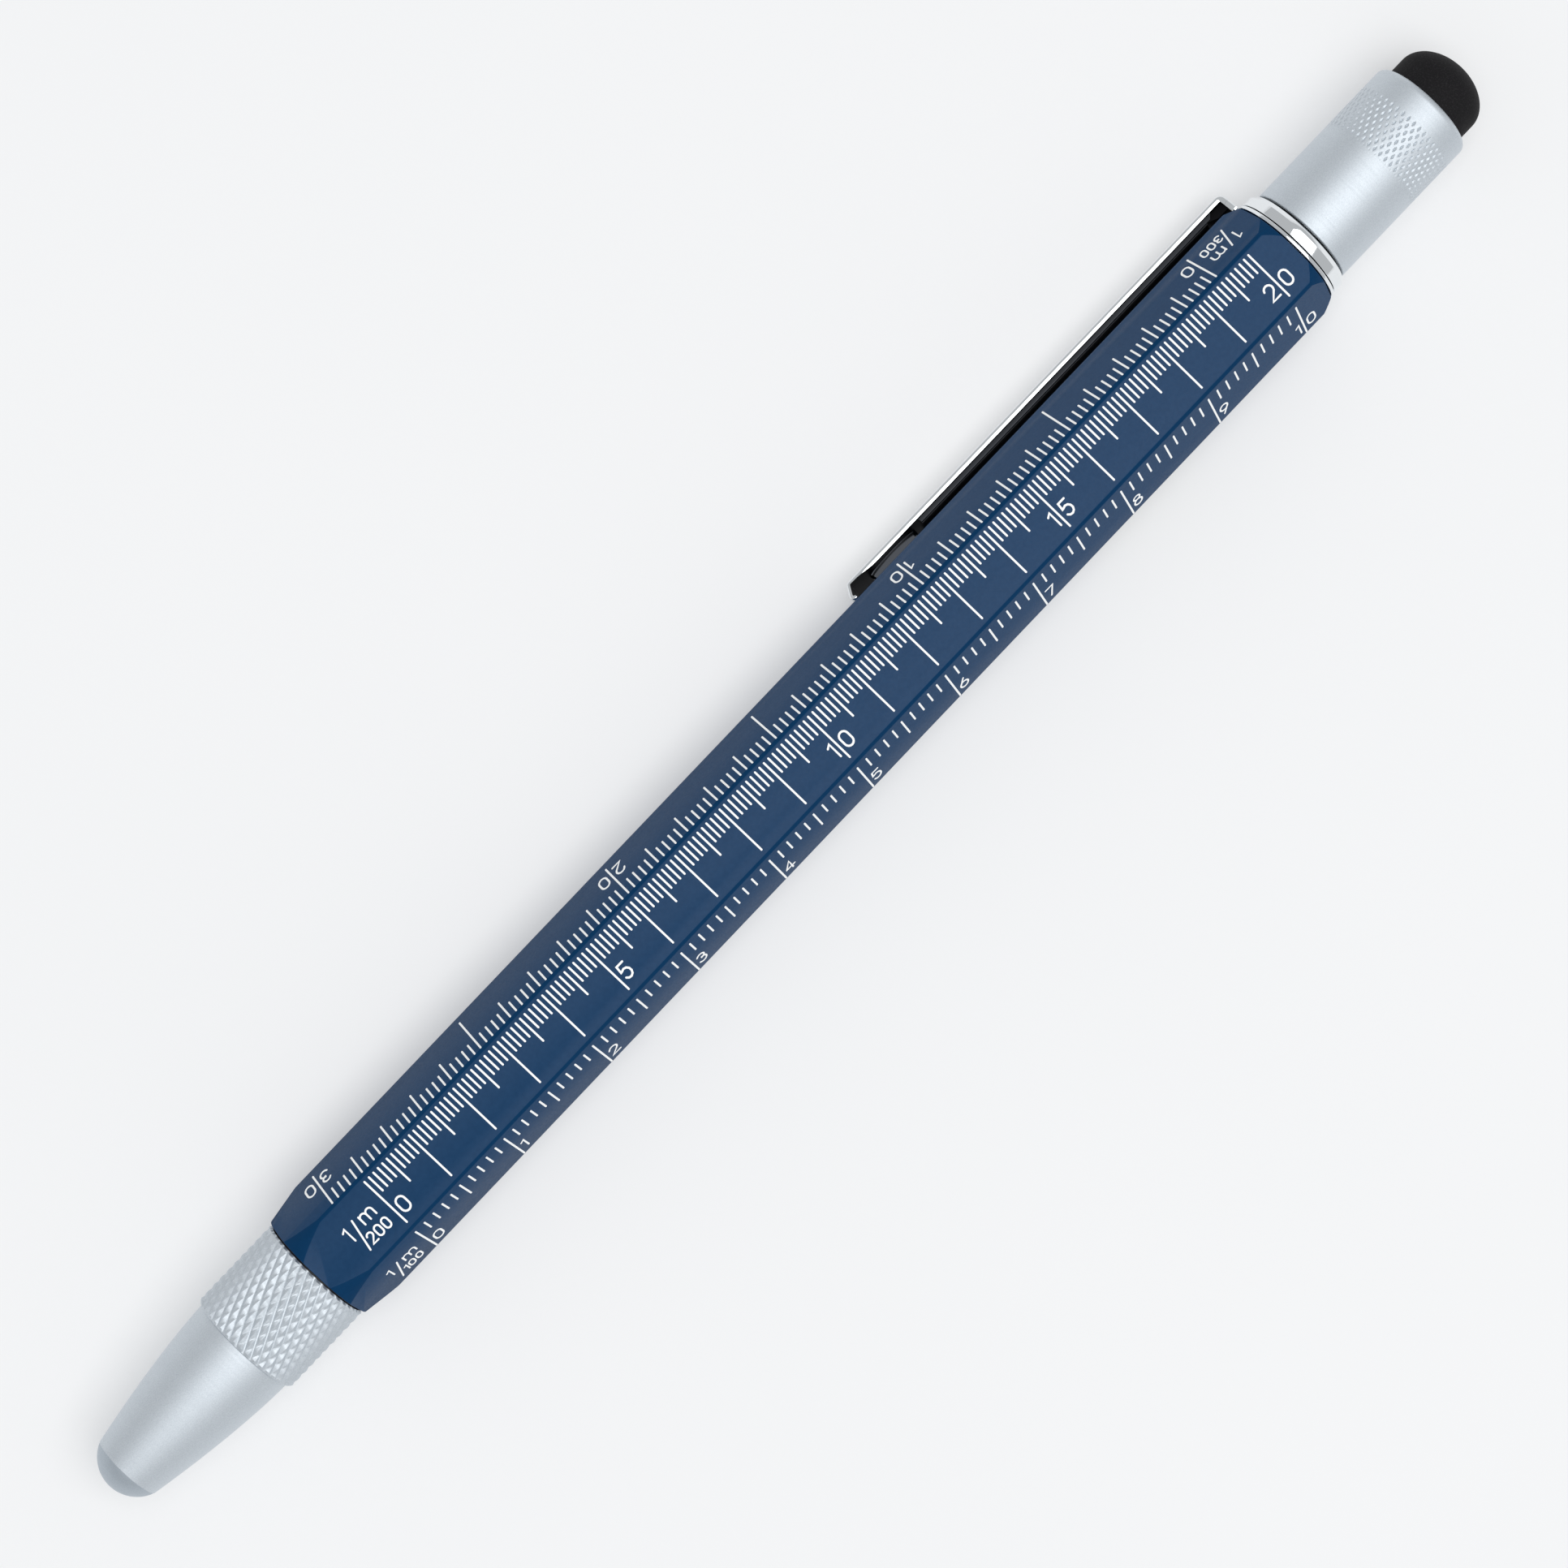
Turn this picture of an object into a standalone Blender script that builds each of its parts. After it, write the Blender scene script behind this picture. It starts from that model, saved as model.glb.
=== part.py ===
"""Hexagonal multi tool pen: nib under a screw-off cap, reversible bit under a touch-tip cap.

Metres, +Z up. X runs along the pen from the writing end to the touch tip, with its origin at the
middle of the barrel. The pen lies on one flat of its hexagon at Z = 0, and the clip is on the
flat that faces +Y and a little down. Radii and stations below are along and around the pen's axis.
"""

import math

import bmesh
import bpy
from mathutils import Matrix, Vector

# Barrel, a hexagonal tube coned at both ends
BARREL_ACROSS_FLATS = 0.0099
BARREL_LENGTH = 0.1108
BARREL_EDGE_ROUND = 0.0003
BARREL_BORE_RADIUS = 0.0040
BARREL_MOUTH_RADIUS = 0.00515
BARREL_FRONT_CONE_LENGTH = 0.00385
BARREL_REAR_CONE_LENGTH = 0.00135

# Clearances
FIT_GAP = 0.00015
SLIDE_GAP = 0.00022
SEAM = 0.0001
END_GAP = 0.0003
CUT_OVERRUN = 0.002

# Front cap, one turned piece
KNURL_LENGTH = 0.00825
KNURL_RADIUS = 0.00495
KNURL_CHAMFER = 0.00022
CAP_CONE_LENGTH = 0.01333
CAP_CONE_REAR_RADIUS = 0.00458
CAP_CONE_TIP_RADIUS = 0.00297
CAP_CONE_CURVE_SHARE = 1.55
CAP_DOME_HEIGHT = 0.00202
CAP_WALL = 0.0006
CAP_END_WALL = 0.0019
CAP_THREAD_DEPTH = 0.0065
LINER_WALL = 0.0005

# Nib section, which screws into a bush in the barrel
BUSH_LENGTH = 0.0080
BUSH_RECESS = 0.0003
STUB_RADIUS = 0.0033
STUB_LENGTH = 0.0085
FLANGE_THICKNESS = 0.0010
NECK_RADIUS = 0.00395
NECK_LENGTH = 0.0053
NOSE_RADIUS = 0.0034
NOSE_LENGTH = 0.0022
NOSE_ROUND = 0.0004
SECTION_BORE_RADIUS = 0.0029
SECTION_BORE_DEPTH = 0.0100
INK_CHANNEL_RADIUS = 0.0006
NIPPLE_RADIUS = 0.0015
NIPPLE_LENGTH = 0.0045
SEAL_THICKNESS = 0.0006
SEAL_GROOVE_DEPTH = 0.0006

# Writing unit
NIB_COLLAR_WALL = 0.0003
NIB_THICKNESS = 0.0002
NIB_REACH = 0.0122
NIB_TAIL = 0.0075
NIB_TIP_DROP = 0.0012
NIB_TIP_HALF_WIDTH = 0.0003
NIB_WRAP_DEG = 78.0
FEED_REACH_SHARE = 0.7
FEED_TAIL = 0.0090
FEED_FIN_COUNT = 5
FEED_FIN_DEPTH = 0.0005

# Ink supply, a screw-piston converter
CONVERTER_RADIUS = 0.0031
CONVERTER_TUBE_WALL = 0.0006
CONVERTER_MOUTH_LENGTH = 0.0066
CONVERTER_SPIGOT_LENGTH = 0.0020
CONVERTER_COLLAR_LENGTH = 0.0058
COLLAR_SPIGOT_LENGTH = 0.0038
PISTON_LENGTH = 0.0040
PISTON_LIP_LENGTH = 0.0010
PISTON_ROOM_SHARE = 0.81
PISTON_WAIST_DEPTH = 0.0004
ROD_RADIUS = 0.00085
ROD_GRIP_LENGTH = 0.0035
KNOB_RADIUS = 0.0028
KNOB_STEM_RADIUS = 0.00145
KNOB_ROUND = 0.0005
KNOB_END_WALL = 0.0010

# Rear collar, which clamps the clip's washer and carries the bit
SLEEVE_LIP_LENGTH = 0.0007
COLLAR_RADIUS = 0.00503
COLLAR_BAND_LENGTH = 0.00082
COLLAR_CHAMFER_LENGTH = 0.00042
COLLAR_CHAMFER_RADIUS = 0.0047
COLLAR_NECK_RADIUS = 0.00345
COLLAR_NECK_LENGTH = 0.0048
COLLAR_BORE_RADIUS = 0.0030
CLIP_RING_RADIUS = 0.0051
CLIP_RING_THICKNESS = 0.0003

# Bit and its holder
BIT_ACROSS_FLATS = 0.0038
BIT_LENGTH = 0.0234
BIT_EXPOSED = 0.0074
BIT_POINT_LENGTH = 0.0030
BIT_SHOULDER_LENGTH = 0.0012
BIT_NECK_RADIUS = 0.0015
CROSS_TIP_RADIUS = 0.00045
CROSS_WEB = 0.0006
CROSS_FLUTE_LENGTH = 0.0024
CROSS_FLUTES = 4
BLADE_THICKNESS = 0.0007
BLADE_LENGTH = 0.0026
BLADE_WEDGE_DEG = 6.0
MAGNET_THICKNESS = 0.0012

# Touch-tip cap
STYLUS_CAP_LENGTH = 0.01423
STYLUS_CAP_RADIUS = 0.00457
STYLUS_CAP_ROUND = 0.0006
STYLUS_CAP_WALL = 0.00047
STYLUS_INSERT_LENGTH = 0.0034
STYLUS_LIP_LENGTH = 0.0011
STYLUS_SHOULDER_DEPTH = 0.00225
TIP_RADIUS = 0.00384
TIP_STRAIGHT_LENGTH = 0.00162
TIP_DOME_HEIGHT = 0.00266
TIP_WALL = 0.0008
RETAINER_LENGTH = 0.0013
RETAINER_WALL = 0.0009
CORE_SEAT_DEPTH = 0.0018

# Pocket clip, a folded channel on the flat that faces +Y and a little down
CLIP_FACE_DEG = 120.0
CLIP_LENGTH = 0.04365
CLIP_WIDTH = 0.0030
CLIP_TOP_OFFSET = 0.0072
CLIP_DEPTH = 0.00106
CLIP_PLATE = 0.0005
CLIP_SIDE_WALL = 0.0004
CLIP_BEND_RADIUS = 0.0006
CLIP_TAB_OFFSET = 0.00625
CLIP_TAIL_LENGTH = 0.0030
CLIP_NOSE_LENGTH = 0.0010
BUMP_LENGTH = 0.0058
BUMP_SETBACK = 0.0054
BUMP_WIDTH = 0.0028

# Spirit level, under a window in one flat
LEVEL_FACE_DEG = -120.0
LEVEL_CRADLE_LENGTH = 0.0190
VIAL_RADIUS = 0.0018
VIAL_WALL = 0.00035
VIAL_LENGTH = 0.0150
VIAL_PLUG_LENGTH = 0.0012
BUBBLE_LENGTH = 0.0034
BUBBLE_WIDTH = 0.0020
BUBBLE_DEPTH = 0.0008
WINDOW_LENGTH = 0.0110
WINDOW_WIDTH = 0.0030
WINDOW_SINK = 0.00005

# Facets around turned pieces
SHOW_SIDES = 40
HIDDEN_SIDES = 24
ARC_STEPS = 6
RING_STEPS = 8
ROUND_STEPS = 2
CONE_STEPS = 8
BORE_STEPS = 4
NIB_ROWS = 12
NIB_COLUMNS = 8
HEX_EDGE_LIMIT_DEG = 45.0
MERGE_DISTANCE = 0.000001

# Turns an upright shape so that its height runs along the pen
LAID_ALONG_X = Matrix.Rotation(math.radians(90), 4, "Y")

# Places that follow from the sizes
AXIS_Z = BARREL_ACROSS_FLATS / 2
FRONT = -BARREL_LENGTH / 2
REAR = BARREL_LENGTH / 2
CORNER_RADIUS = BARREL_ACROSS_FLATS / math.sqrt(3)

CAP_MOUTH = FRONT - SEAM
KNURL_FRONT = CAP_MOUTH - KNURL_LENGTH
CONE_TIP = KNURL_FRONT - CAP_CONE_LENGTH
DOME_TIP = CONE_TIP - CAP_DOME_HEIGHT
CAP_CAVITY_END = DOME_TIP + CAP_END_WALL
CAP_BORE_RADIUS = NECK_RADIUS + SLIDE_GAP

FLANGE_REAR = FRONT - SEAM
FLANGE_FRONT = FLANGE_REAR - FLANGE_THICKNESS
NECK_FRONT = FLANGE_FRONT - NECK_LENGTH
NOSE_FRONT = NECK_FRONT - NOSE_LENGTH
STUB_END = FLANGE_REAR + STUB_LENGTH
NIPPLE_END = STUB_END + NIPPLE_LENGTH
SECTION_BORE_END = NOSE_FRONT + SECTION_BORE_DEPTH

NIB_TIP = NOSE_FRONT - NIB_REACH
NIB_REAR = NOSE_FRONT + NIB_TAIL
NIB_COLLAR_RADIUS = SECTION_BORE_RADIUS - FIT_GAP
NIB_COLLAR_BORE = NIB_COLLAR_RADIUS - NIB_COLLAR_WALL
NIB_OUTER_RADIUS = NIB_COLLAR_BORE - FIT_GAP
NIB_INNER_RADIUS = NIB_OUTER_RADIUS - NIB_THICKNESS
FEED_RADIUS = NIB_INNER_RADIUS - FIT_GAP

CLIP_RING_FRONT = REAR + SEAM
CLIP_RING_REAR = CLIP_RING_FRONT + CLIP_RING_THICKNESS
COLLAR_FRONT = CLIP_RING_REAR + SEAM
COLLAR_BAND_END = COLLAR_FRONT + COLLAR_BAND_LENGTH
COLLAR_REAR = COLLAR_BAND_END + COLLAR_CHAMFER_LENGTH
COLLAR_NECK_END = COLLAR_REAR + COLLAR_NECK_LENGTH

SOCKET_ACROSS_FLATS = BIT_ACROSS_FLATS + FIT_GAP + FIT_GAP
BIT_REAR = COLLAR_NECK_END + BIT_EXPOSED
BIT_FRONT = BIT_REAR - BIT_LENGTH
MAGNET_REAR = BIT_FRONT - FIT_GAP
MAGNET_FRONT = MAGNET_REAR - MAGNET_THICKNESS
HOLDER_FRONT = MAGNET_FRONT - FIT_GAP
HOLDER_RADIUS = COLLAR_BORE_RADIUS - FIT_GAP
SLEEVE_FRONT = HOLDER_FRONT - SLEEVE_LIP_LENGTH

STYLUS_MOUTH = COLLAR_REAR + SEAM + FIT_GAP
STYLUS_END = STYLUS_MOUTH + STYLUS_CAP_LENGTH
STYLUS_BORE_RADIUS = STYLUS_CAP_RADIUS - STYLUS_CAP_WALL
STYLUS_SHOULDER = STYLUS_END - STYLUS_SHOULDER_DEPTH
STYLUS_OPENING_RADIUS = TIP_RADIUS + SEAM
LIP_RADIUS = STYLUS_BORE_RADIUS - FIT_GAP
LIP_FRONT = STYLUS_SHOULDER - SEAM - STYLUS_LIP_LENGTH
TIP_DOME_START = STYLUS_END + TIP_STRAIGHT_LENGTH
TIP_END = TIP_DOME_START + TIP_DOME_HEIGHT
RETAINER_REAR = LIP_FRONT - FIT_GAP
CORE_FRONT = LIP_FRONT + CORE_SEAT_DEPTH
COLLAR_SEAL_RADIUS = (COLLAR_NECK_RADIUS + STYLUS_BORE_RADIUS) / 2
COLLAR_SEAL_THICKNESS = STYLUS_BORE_RADIUS - COLLAR_NECK_RADIUS - FIT_GAP
STYLUS_INSERT_FRONT = STYLUS_MOUTH + COLLAR_SEAL_THICKNESS + FIT_GAP + FIT_GAP

CRADLE_REAR = SLEEVE_FRONT - END_GAP
CRADLE_FRONT = CRADLE_REAR - LEVEL_CRADLE_LENGTH
LEVEL_MIDDLE = (CRADLE_FRONT + CRADLE_REAR) / 2
VIAL_OFFSET = BARREL_BORE_RADIUS - FIT_GAP - FIT_GAP - VIAL_RADIUS

CONVERTER_FRONT = STUB_END + END_GAP
CONVERTER_MOUTH_END = CONVERTER_FRONT + CONVERTER_MOUTH_LENGTH
MOUTH_SPIGOT_END = CONVERTER_MOUTH_END + CONVERTER_SPIGOT_LENGTH
CONVERTER_STROKES_START = (
    MOUTH_SPIGOT_END + END_GAP + PISTON_LENGTH + END_GAP + COLLAR_SPIGOT_LENGTH
    + ROD_GRIP_LENGTH + END_GAP + KNOB_END_WALL
)
PISTON_TRAVEL = PISTON_ROOM_SHARE * (CRADLE_FRONT - CONVERTER_STROKES_START) / 2
PISTON_FRONT = MOUTH_SPIGOT_END + END_GAP + PISTON_TRAVEL
PISTON_REAR = PISTON_FRONT + PISTON_LENGTH
CONVERTER_COLLAR_FRONT = PISTON_REAR + END_GAP + COLLAR_SPIGOT_LENGTH
CONVERTER_COLLAR_REAR = CONVERTER_COLLAR_FRONT + CONVERTER_COLLAR_LENGTH
CONVERTER_TUBE_FRONT = CONVERTER_MOUTH_END + SEAM
CONVERTER_TUBE_REAR = CONVERTER_COLLAR_FRONT - SEAM
CONVERTER_TUBE_BORE = CONVERTER_RADIUS - SEAM - CONVERTER_TUBE_WALL
ROD_FRONT = PISTON_FRONT + PISTON_LENGTH / 2
ROD_REAR = CONVERTER_COLLAR_FRONT + ROD_GRIP_LENGTH + PISTON_TRAVEL
KNOB_FRONT = CONVERTER_COLLAR_REAR + SLIDE_GAP
KNOB_REAR = ROD_REAR + END_GAP + KNOB_END_WALL

CLIP_REAR = CLIP_RING_REAR
CLIP_TIP = CLIP_REAR - CLIP_LENGTH
CLIP_UNDER_OFFSET = CLIP_TOP_OFFSET - CLIP_DEPTH

# Colour, roughness and metallic value of each finish
NAVY_LACQUER = ((0.030, 0.070, 0.150), 0.42, 0.0)
SATIN_ALUMINIUM = ((0.66, 0.69, 0.72), 0.36, 1.0)
MIRROR_CHROME = ((0.82, 0.83, 0.85), 0.06, 1.0)
BRASS = ((0.72, 0.52, 0.25), 0.35, 1.0)
STEEL = ((0.60, 0.61, 0.63), 0.25, 1.0)
BLACK_PLASTIC = ((0.018, 0.018, 0.020), 0.45, 0.0)
BLACK_RUBBER = ((0.016, 0.015, 0.017), 0.80, 0.0)
CLEAR_PLASTIC = ((0.85, 0.87, 0.88), 0.08, 0.0)
LEVEL_GREEN = ((0.45, 0.75, 0.12), 0.10, 0.0)


def remove_everything():
    """Empties the scene."""
    for old in list(bpy.data.objects):
        bpy.data.objects.remove(old, do_unlink=True)


def new_collection(name):
    """Makes a collection under the scene's own."""
    made = bpy.data.collections.new(name)
    bpy.context.scene.collection.children.link(made)
    return made


remove_everything()
PEN = new_collection("multi_tool_pen")
CUTTERS = new_collection("cutters")


def face_frame(face_deg):
    """A frame on the pen's axis whose +Z looks out through the flat at this angle from the top."""
    return Matrix.Translation((0, 0, AXIS_Z)) @ Matrix.Rotation(-math.radians(face_deg), 4, "X")


def add_mesh(name, mesh, matrix, collection):
    """Links a mesh as a named object at a place."""
    made = bpy.data.objects.new(name, mesh)
    made.matrix_world = matrix
    collection.objects.link(made)
    return made


def finish(piece, look):
    """Gives a piece a material of its own."""
    colour, roughness, metallic = look
    material = bpy.data.materials.new(piece.name)
    material.use_nodes = True
    shader = material.node_tree.nodes["Principled BSDF"]
    shader.inputs["Base Color"].default_value = (*colour, 1)
    shader.inputs["Roughness"].default_value = roughness
    shader.inputs["Metallic"].default_value = metallic
    piece.data.materials.append(material)
    return piece


def arc(centre, radii, start_deg, end_deg, steps=ARC_STEPS):
    """Points on an elliptic arc in (station, radius), with angles from +station to +radius."""
    points = []
    for step in range(steps + 1):
        angle = math.radians(start_deg + (end_deg - start_deg) * step / steps)
        points.append((centre[0] + radii[0] * math.cos(angle), centre[1] + radii[1] * math.sin(angle)))
    return points


def turned(name, outline, sides, look=None, collection=None):
    """Turns an outline of (station, radius) points around the pen's axis.

    The outline runs along the outside towards the touch tip, then back through the bore. It
    closes by itself unless its ends lie on the axis.
    """
    shape = bmesh.new()
    points = [shape.verts.new((radius, 0, station)) for station, radius in reversed(outline)]
    for first, second in zip(points, points[1:]):
        shape.edges.new((first, second))
    if outline[0][1] > 0:
        shape.edges.new((points[-1], points[0]))
    mesh = bpy.data.meshes.new(name)
    shape.to_mesh(mesh)
    shape.free()
    made = add_mesh(name, mesh, face_frame(0) @ LAID_ALONG_X, collection or PEN)
    screw = made.modifiers.new("turn", "SCREW")
    screw.axis = "Z"
    screw.steps = sides
    screw.render_steps = sides
    screw.use_merge_vertices = True
    screw.merge_threshold = MERGE_DISTANCE
    screw.use_smooth_shade = True
    if look:
        finish(made, look)
    return made


def tube(start, end, outer_radius, bore_radius):
    """Outline of a plain tube."""
    return [(start, outer_radius), (end, outer_radius), (end, bore_radius), (start, bore_radius)]


def block(name, size, matrix, collection=None):
    """A box of this size, centred on a frame."""
    shape = bmesh.new()
    bmesh.ops.create_cube(shape, size=1)
    bmesh.ops.scale(shape, vec=Vector(size), verts=shape.verts)
    mesh = bpy.data.meshes.new(name)
    shape.to_mesh(mesh)
    shape.free()
    return add_mesh(name, mesh, matrix, collection or CUTTERS)


def ball(name, size, matrix, collection=None):
    """An ellipsoid of this size, centred on a frame."""
    shape = bmesh.new()
    bmesh.ops.create_uvsphere(shape, u_segments=HIDDEN_SIDES, v_segments=HIDDEN_SIDES // 2, radius=1)
    bmesh.ops.scale(shape, vec=Vector(size) / 2, verts=shape.verts)
    mesh = bpy.data.meshes.new(name)
    shape.to_mesh(mesh)
    shape.free()
    return add_mesh(name, mesh, matrix, collection or CUTTERS)


def prism(name, across_flats, start, end, collection=None):
    """A hexagonal bar along the pen's axis, with a flat on top."""
    shape = bmesh.new()
    radius = across_flats / math.sqrt(3)
    bmesh.ops.create_cone(shape, cap_ends=True, segments=6, radius1=radius, radius2=radius, depth=end - start)
    mesh = bpy.data.meshes.new(name)
    shape.to_mesh(mesh)
    shape.free()
    middle = Matrix.Translation(((start + end) / 2, 0, AXIS_Z))
    return add_mesh(name, mesh, middle @ LAID_ALONG_X, collection or CUTTERS)


def rod(name, radius, start, end, matrix, collection, look=None):
    """A round bar along a frame's X, between two stations."""
    shape = bmesh.new()
    bmesh.ops.create_cone(
        shape, cap_ends=True, segments=HIDDEN_SIDES, radius1=radius, radius2=radius, depth=end - start
    )
    bmesh.ops.transform(
        shape, matrix=Matrix.Translation(((start + end) / 2, 0, 0)) @ LAID_ALONG_X, verts=shape.verts
    )
    mesh = bpy.data.meshes.new(name)
    shape.to_mesh(mesh)
    shape.free()
    made = add_mesh(name, mesh, matrix, collection)
    if look:
        finish(made, look)
    return made


def boolean(piece, other, operation):
    """Cuts, joins or keeps what a piece shares with another, which becomes a hidden cutter."""
    change = piece.modifiers.new(other.name, "BOOLEAN")
    change.operation = operation
    change.object = other
    change.solver = "EXACT"
    other.hide_render = True
    other.display_type = "WIRE"


def ring(name, middle_radius, thickness, station, look):
    """A round rubber ring around the pen's axis."""
    half = thickness / 2
    section = arc((station, middle_radius), (half, half), 180, -180, RING_STEPS)
    return turned(name, section[:-1], HIDDEN_SIDES, look)


def cap_cone_radius(station):
    """Outer radius of the front cap's curved cone."""
    share = (KNURL_FRONT - station) / CAP_CONE_LENGTH
    drop = CAP_CONE_REAR_RADIUS - CAP_CONE_TIP_RADIUS
    return CAP_CONE_REAR_RADIUS - drop * share ** CAP_CONE_CURVE_SHARE


def cone_run(start, end, inset, steps=CONE_STEPS):
    """Points along the front cap's cone, moved inwards."""
    points = []
    for step in range(steps + 1):
        station = start + (end - start) * step / steps
        points.append((station, cap_cone_radius(station) - inset))
    return points


def make_barrel():
    """The hexagonal tube, with rounded edges, coned ends, a bore and the level's window."""
    barrel = prism("barrel", BARREL_ACROSS_FLATS, FRONT - CUT_OVERRUN, REAR + CUT_OVERRUN, PEN)
    rounding = barrel.modifiers.new("edges", "BEVEL")
    rounding.width = BARREL_EDGE_ROUND
    rounding.segments = ROUND_STEPS
    rounding.limit_method = "ANGLE"
    rounding.angle_limit = math.radians(HEX_EDGE_LIMIT_DEG)
    keep = CORNER_RADIUS + CUT_OVERRUN
    rise = (CORNER_RADIUS - BARREL_MOUTH_RADIUS) / (keep - BARREL_MOUTH_RADIUS)
    outline = [
        (FRONT, 0),
        (FRONT, BARREL_MOUTH_RADIUS),
        (FRONT + BARREL_FRONT_CONE_LENGTH / rise, keep),
        (REAR - BARREL_REAR_CONE_LENGTH / rise, keep),
        (REAR, BARREL_MOUTH_RADIUS),
        (REAR, 0),
    ]
    boolean(barrel, turned("barrel_envelope", outline, SHOW_SIDES + SHOW_SIDES, None, CUTTERS), "INTERSECT")
    bore_ends = (FRONT - CUT_OVERRUN - CUT_OVERRUN, REAR + CUT_OVERRUN + CUT_OVERRUN)
    bore = rod("barrel_bore", BARREL_BORE_RADIUS, *bore_ends, face_frame(0), CUTTERS)
    boolean(barrel, bore, "DIFFERENCE")
    height = BARREL_ACROSS_FLATS / 2
    place = face_frame(LEVEL_FACE_DEG) @ Matrix.Translation((LEVEL_MIDDLE, 0, height))
    boolean(barrel, block("window_cut", (WINDOW_LENGTH, WINDOW_WIDTH, height), place), "DIFFERENCE")
    finish(barrel, NAVY_LACQUER)


def make_front_cap():
    """The turned cap over the nib, with its liner: knurled skirt, curved cone and dome."""
    dome_radius = (CAP_CONE_TIP_RADIUS ** 2 + CAP_DOME_HEIGHT ** 2) / (CAP_DOME_HEIGHT + CAP_DOME_HEIGHT)
    dome_deg = math.degrees(math.asin(CAP_CONE_TIP_RADIUS / dome_radius))
    dome = arc((DOME_TIP + dome_radius, 0), (dome_radius, dome_radius), 180, 180 - dome_deg)
    rim_radius = KNURL_RADIUS - KNURL_CHAMFER
    outline = [(DOME_TIP, 0)] + dome[1:] + cone_run(CONE_TIP, KNURL_FRONT, 0)[1:]
    outline += [
        (KNURL_FRONT, rim_radius),
        (KNURL_FRONT + KNURL_CHAMFER, KNURL_RADIUS),
        (CAP_MOUTH - KNURL_CHAMFER, KNURL_RADIUS),
        (CAP_MOUTH, rim_radius),
        (CAP_MOUTH, CAP_BORE_RADIUS),
        (CAP_MOUTH - CAP_THREAD_DEPTH, CAP_BORE_RADIUS),
        (CAP_MOUTH - CAP_THREAD_DEPTH, CAP_CONE_REAR_RADIUS - CAP_WALL),
    ]
    outline += cone_run(KNURL_FRONT, CAP_CAVITY_END, CAP_WALL, BORE_STEPS)
    outline.append((CAP_CAVITY_END, 0))
    turned("front_cap", outline, SHOW_SIDES, SATIN_ALUMINIUM)
    front = CAP_CAVITY_END + FIT_GAP
    mouth = NOSE_FRONT - SLIDE_GAP
    inset = CAP_WALL + FIT_GAP
    outline = [(front, 0)] + cone_run(front, mouth, inset, BORE_STEPS)
    outline += cone_run(mouth, front + LINER_WALL, inset + LINER_WALL, BORE_STEPS)
    outline.append((front + LINER_WALL, 0))
    turned("inner_cap", outline, HIDDEN_SIDES, BLACK_PLASTIC)


def make_section():
    """The nib section with its neck ring, and the bush in the barrel that it screws into."""
    bush_front = FRONT + BUSH_RECESS
    bush = tube(bush_front, bush_front + BUSH_LENGTH, BARREL_BORE_RADIUS - FIT_GAP, STUB_RADIUS + SLIDE_GAP)
    turned("front_bush", bush, HIDDEN_SIDES, BRASS)
    groove_floor = NECK_RADIUS - SEAL_GROOVE_DEPTH
    groove_rear = FLANGE_FRONT - SEAL_THICKNESS / 2
    groove_front = groove_rear - SEAL_THICKNESS - FIT_GAP - FIT_GAP
    nose = arc((NOSE_FRONT + NOSE_ROUND, NOSE_RADIUS - NOSE_ROUND), (NOSE_ROUND, NOSE_ROUND), 180, 90)
    outline = nose + [
        (NECK_FRONT - NOSE_ROUND, NOSE_RADIUS),
        (NECK_FRONT, NECK_RADIUS - NOSE_ROUND),
        (NECK_FRONT + NOSE_ROUND, NECK_RADIUS),
        (groove_front, NECK_RADIUS),
        (groove_front, groove_floor),
        (groove_rear, groove_floor),
        (groove_rear, NECK_RADIUS),
        (FLANGE_REAR, NECK_RADIUS),
        (FLANGE_REAR, STUB_RADIUS),
        (STUB_END, STUB_RADIUS),
        (STUB_END, NIPPLE_RADIUS),
        (NIPPLE_END, NIPPLE_RADIUS),
        (NIPPLE_END, INK_CHANNEL_RADIUS),
        (SECTION_BORE_END, INK_CHANNEL_RADIUS),
        (SECTION_BORE_END, SECTION_BORE_RADIUS),
        (NOSE_FRONT, SECTION_BORE_RADIUS),
    ]
    turned("nib_section", outline, HIDDEN_SIDES, BLACK_PLASTIC)
    seal_radius = groove_floor + SEAM + SEAL_THICKNESS / 2
    ring("neck_seal", seal_radius, SEAL_THICKNESS, (groove_front + groove_rear) / 2, BLACK_RUBBER)


def nib_drop(station):
    """How far the nib has curved down towards the pen's axis at a station."""
    share = max(0, (NOSE_FRONT - station) / NIB_REACH)
    return NIB_TIP_DROP * share * share


def make_writing_unit():
    """The nib's housing, the finned feed and the pressed nib."""
    collar = tube(NOSE_FRONT, SECTION_BORE_END - FIT_GAP, NIB_COLLAR_RADIUS, NIB_COLLAR_BORE)
    turned("nib_collar", collar, HIDDEN_SIDES, BLACK_PLASTIC)
    reach = NIB_REACH * FEED_REACH_SHARE
    tip = NOSE_FRONT - reach
    pitch = reach / (FEED_FIN_COUNT + 1)
    outline = [(tip, 0), (tip, FEED_RADIUS - nib_drop(tip) - FEED_FIN_DEPTH)]
    for fin in range(FEED_FIN_COUNT):
        start = tip + pitch * (fin + 1) - pitch / 2
        radius = FEED_RADIUS - nib_drop(start)
        floor = radius - FEED_FIN_DEPTH
        outline += [(start, floor), (start, radius), (start + pitch / 2, radius), (start + pitch / 2, floor)]
    outline += [(NOSE_FRONT, FEED_RADIUS), (NOSE_FRONT + FEED_TAIL, FEED_RADIUS), (NOSE_FRONT + FEED_TAIL, 0)]
    turned("feed", outline, HIDDEN_SIDES, BLACK_PLASTIC)
    make_nib()


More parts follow.
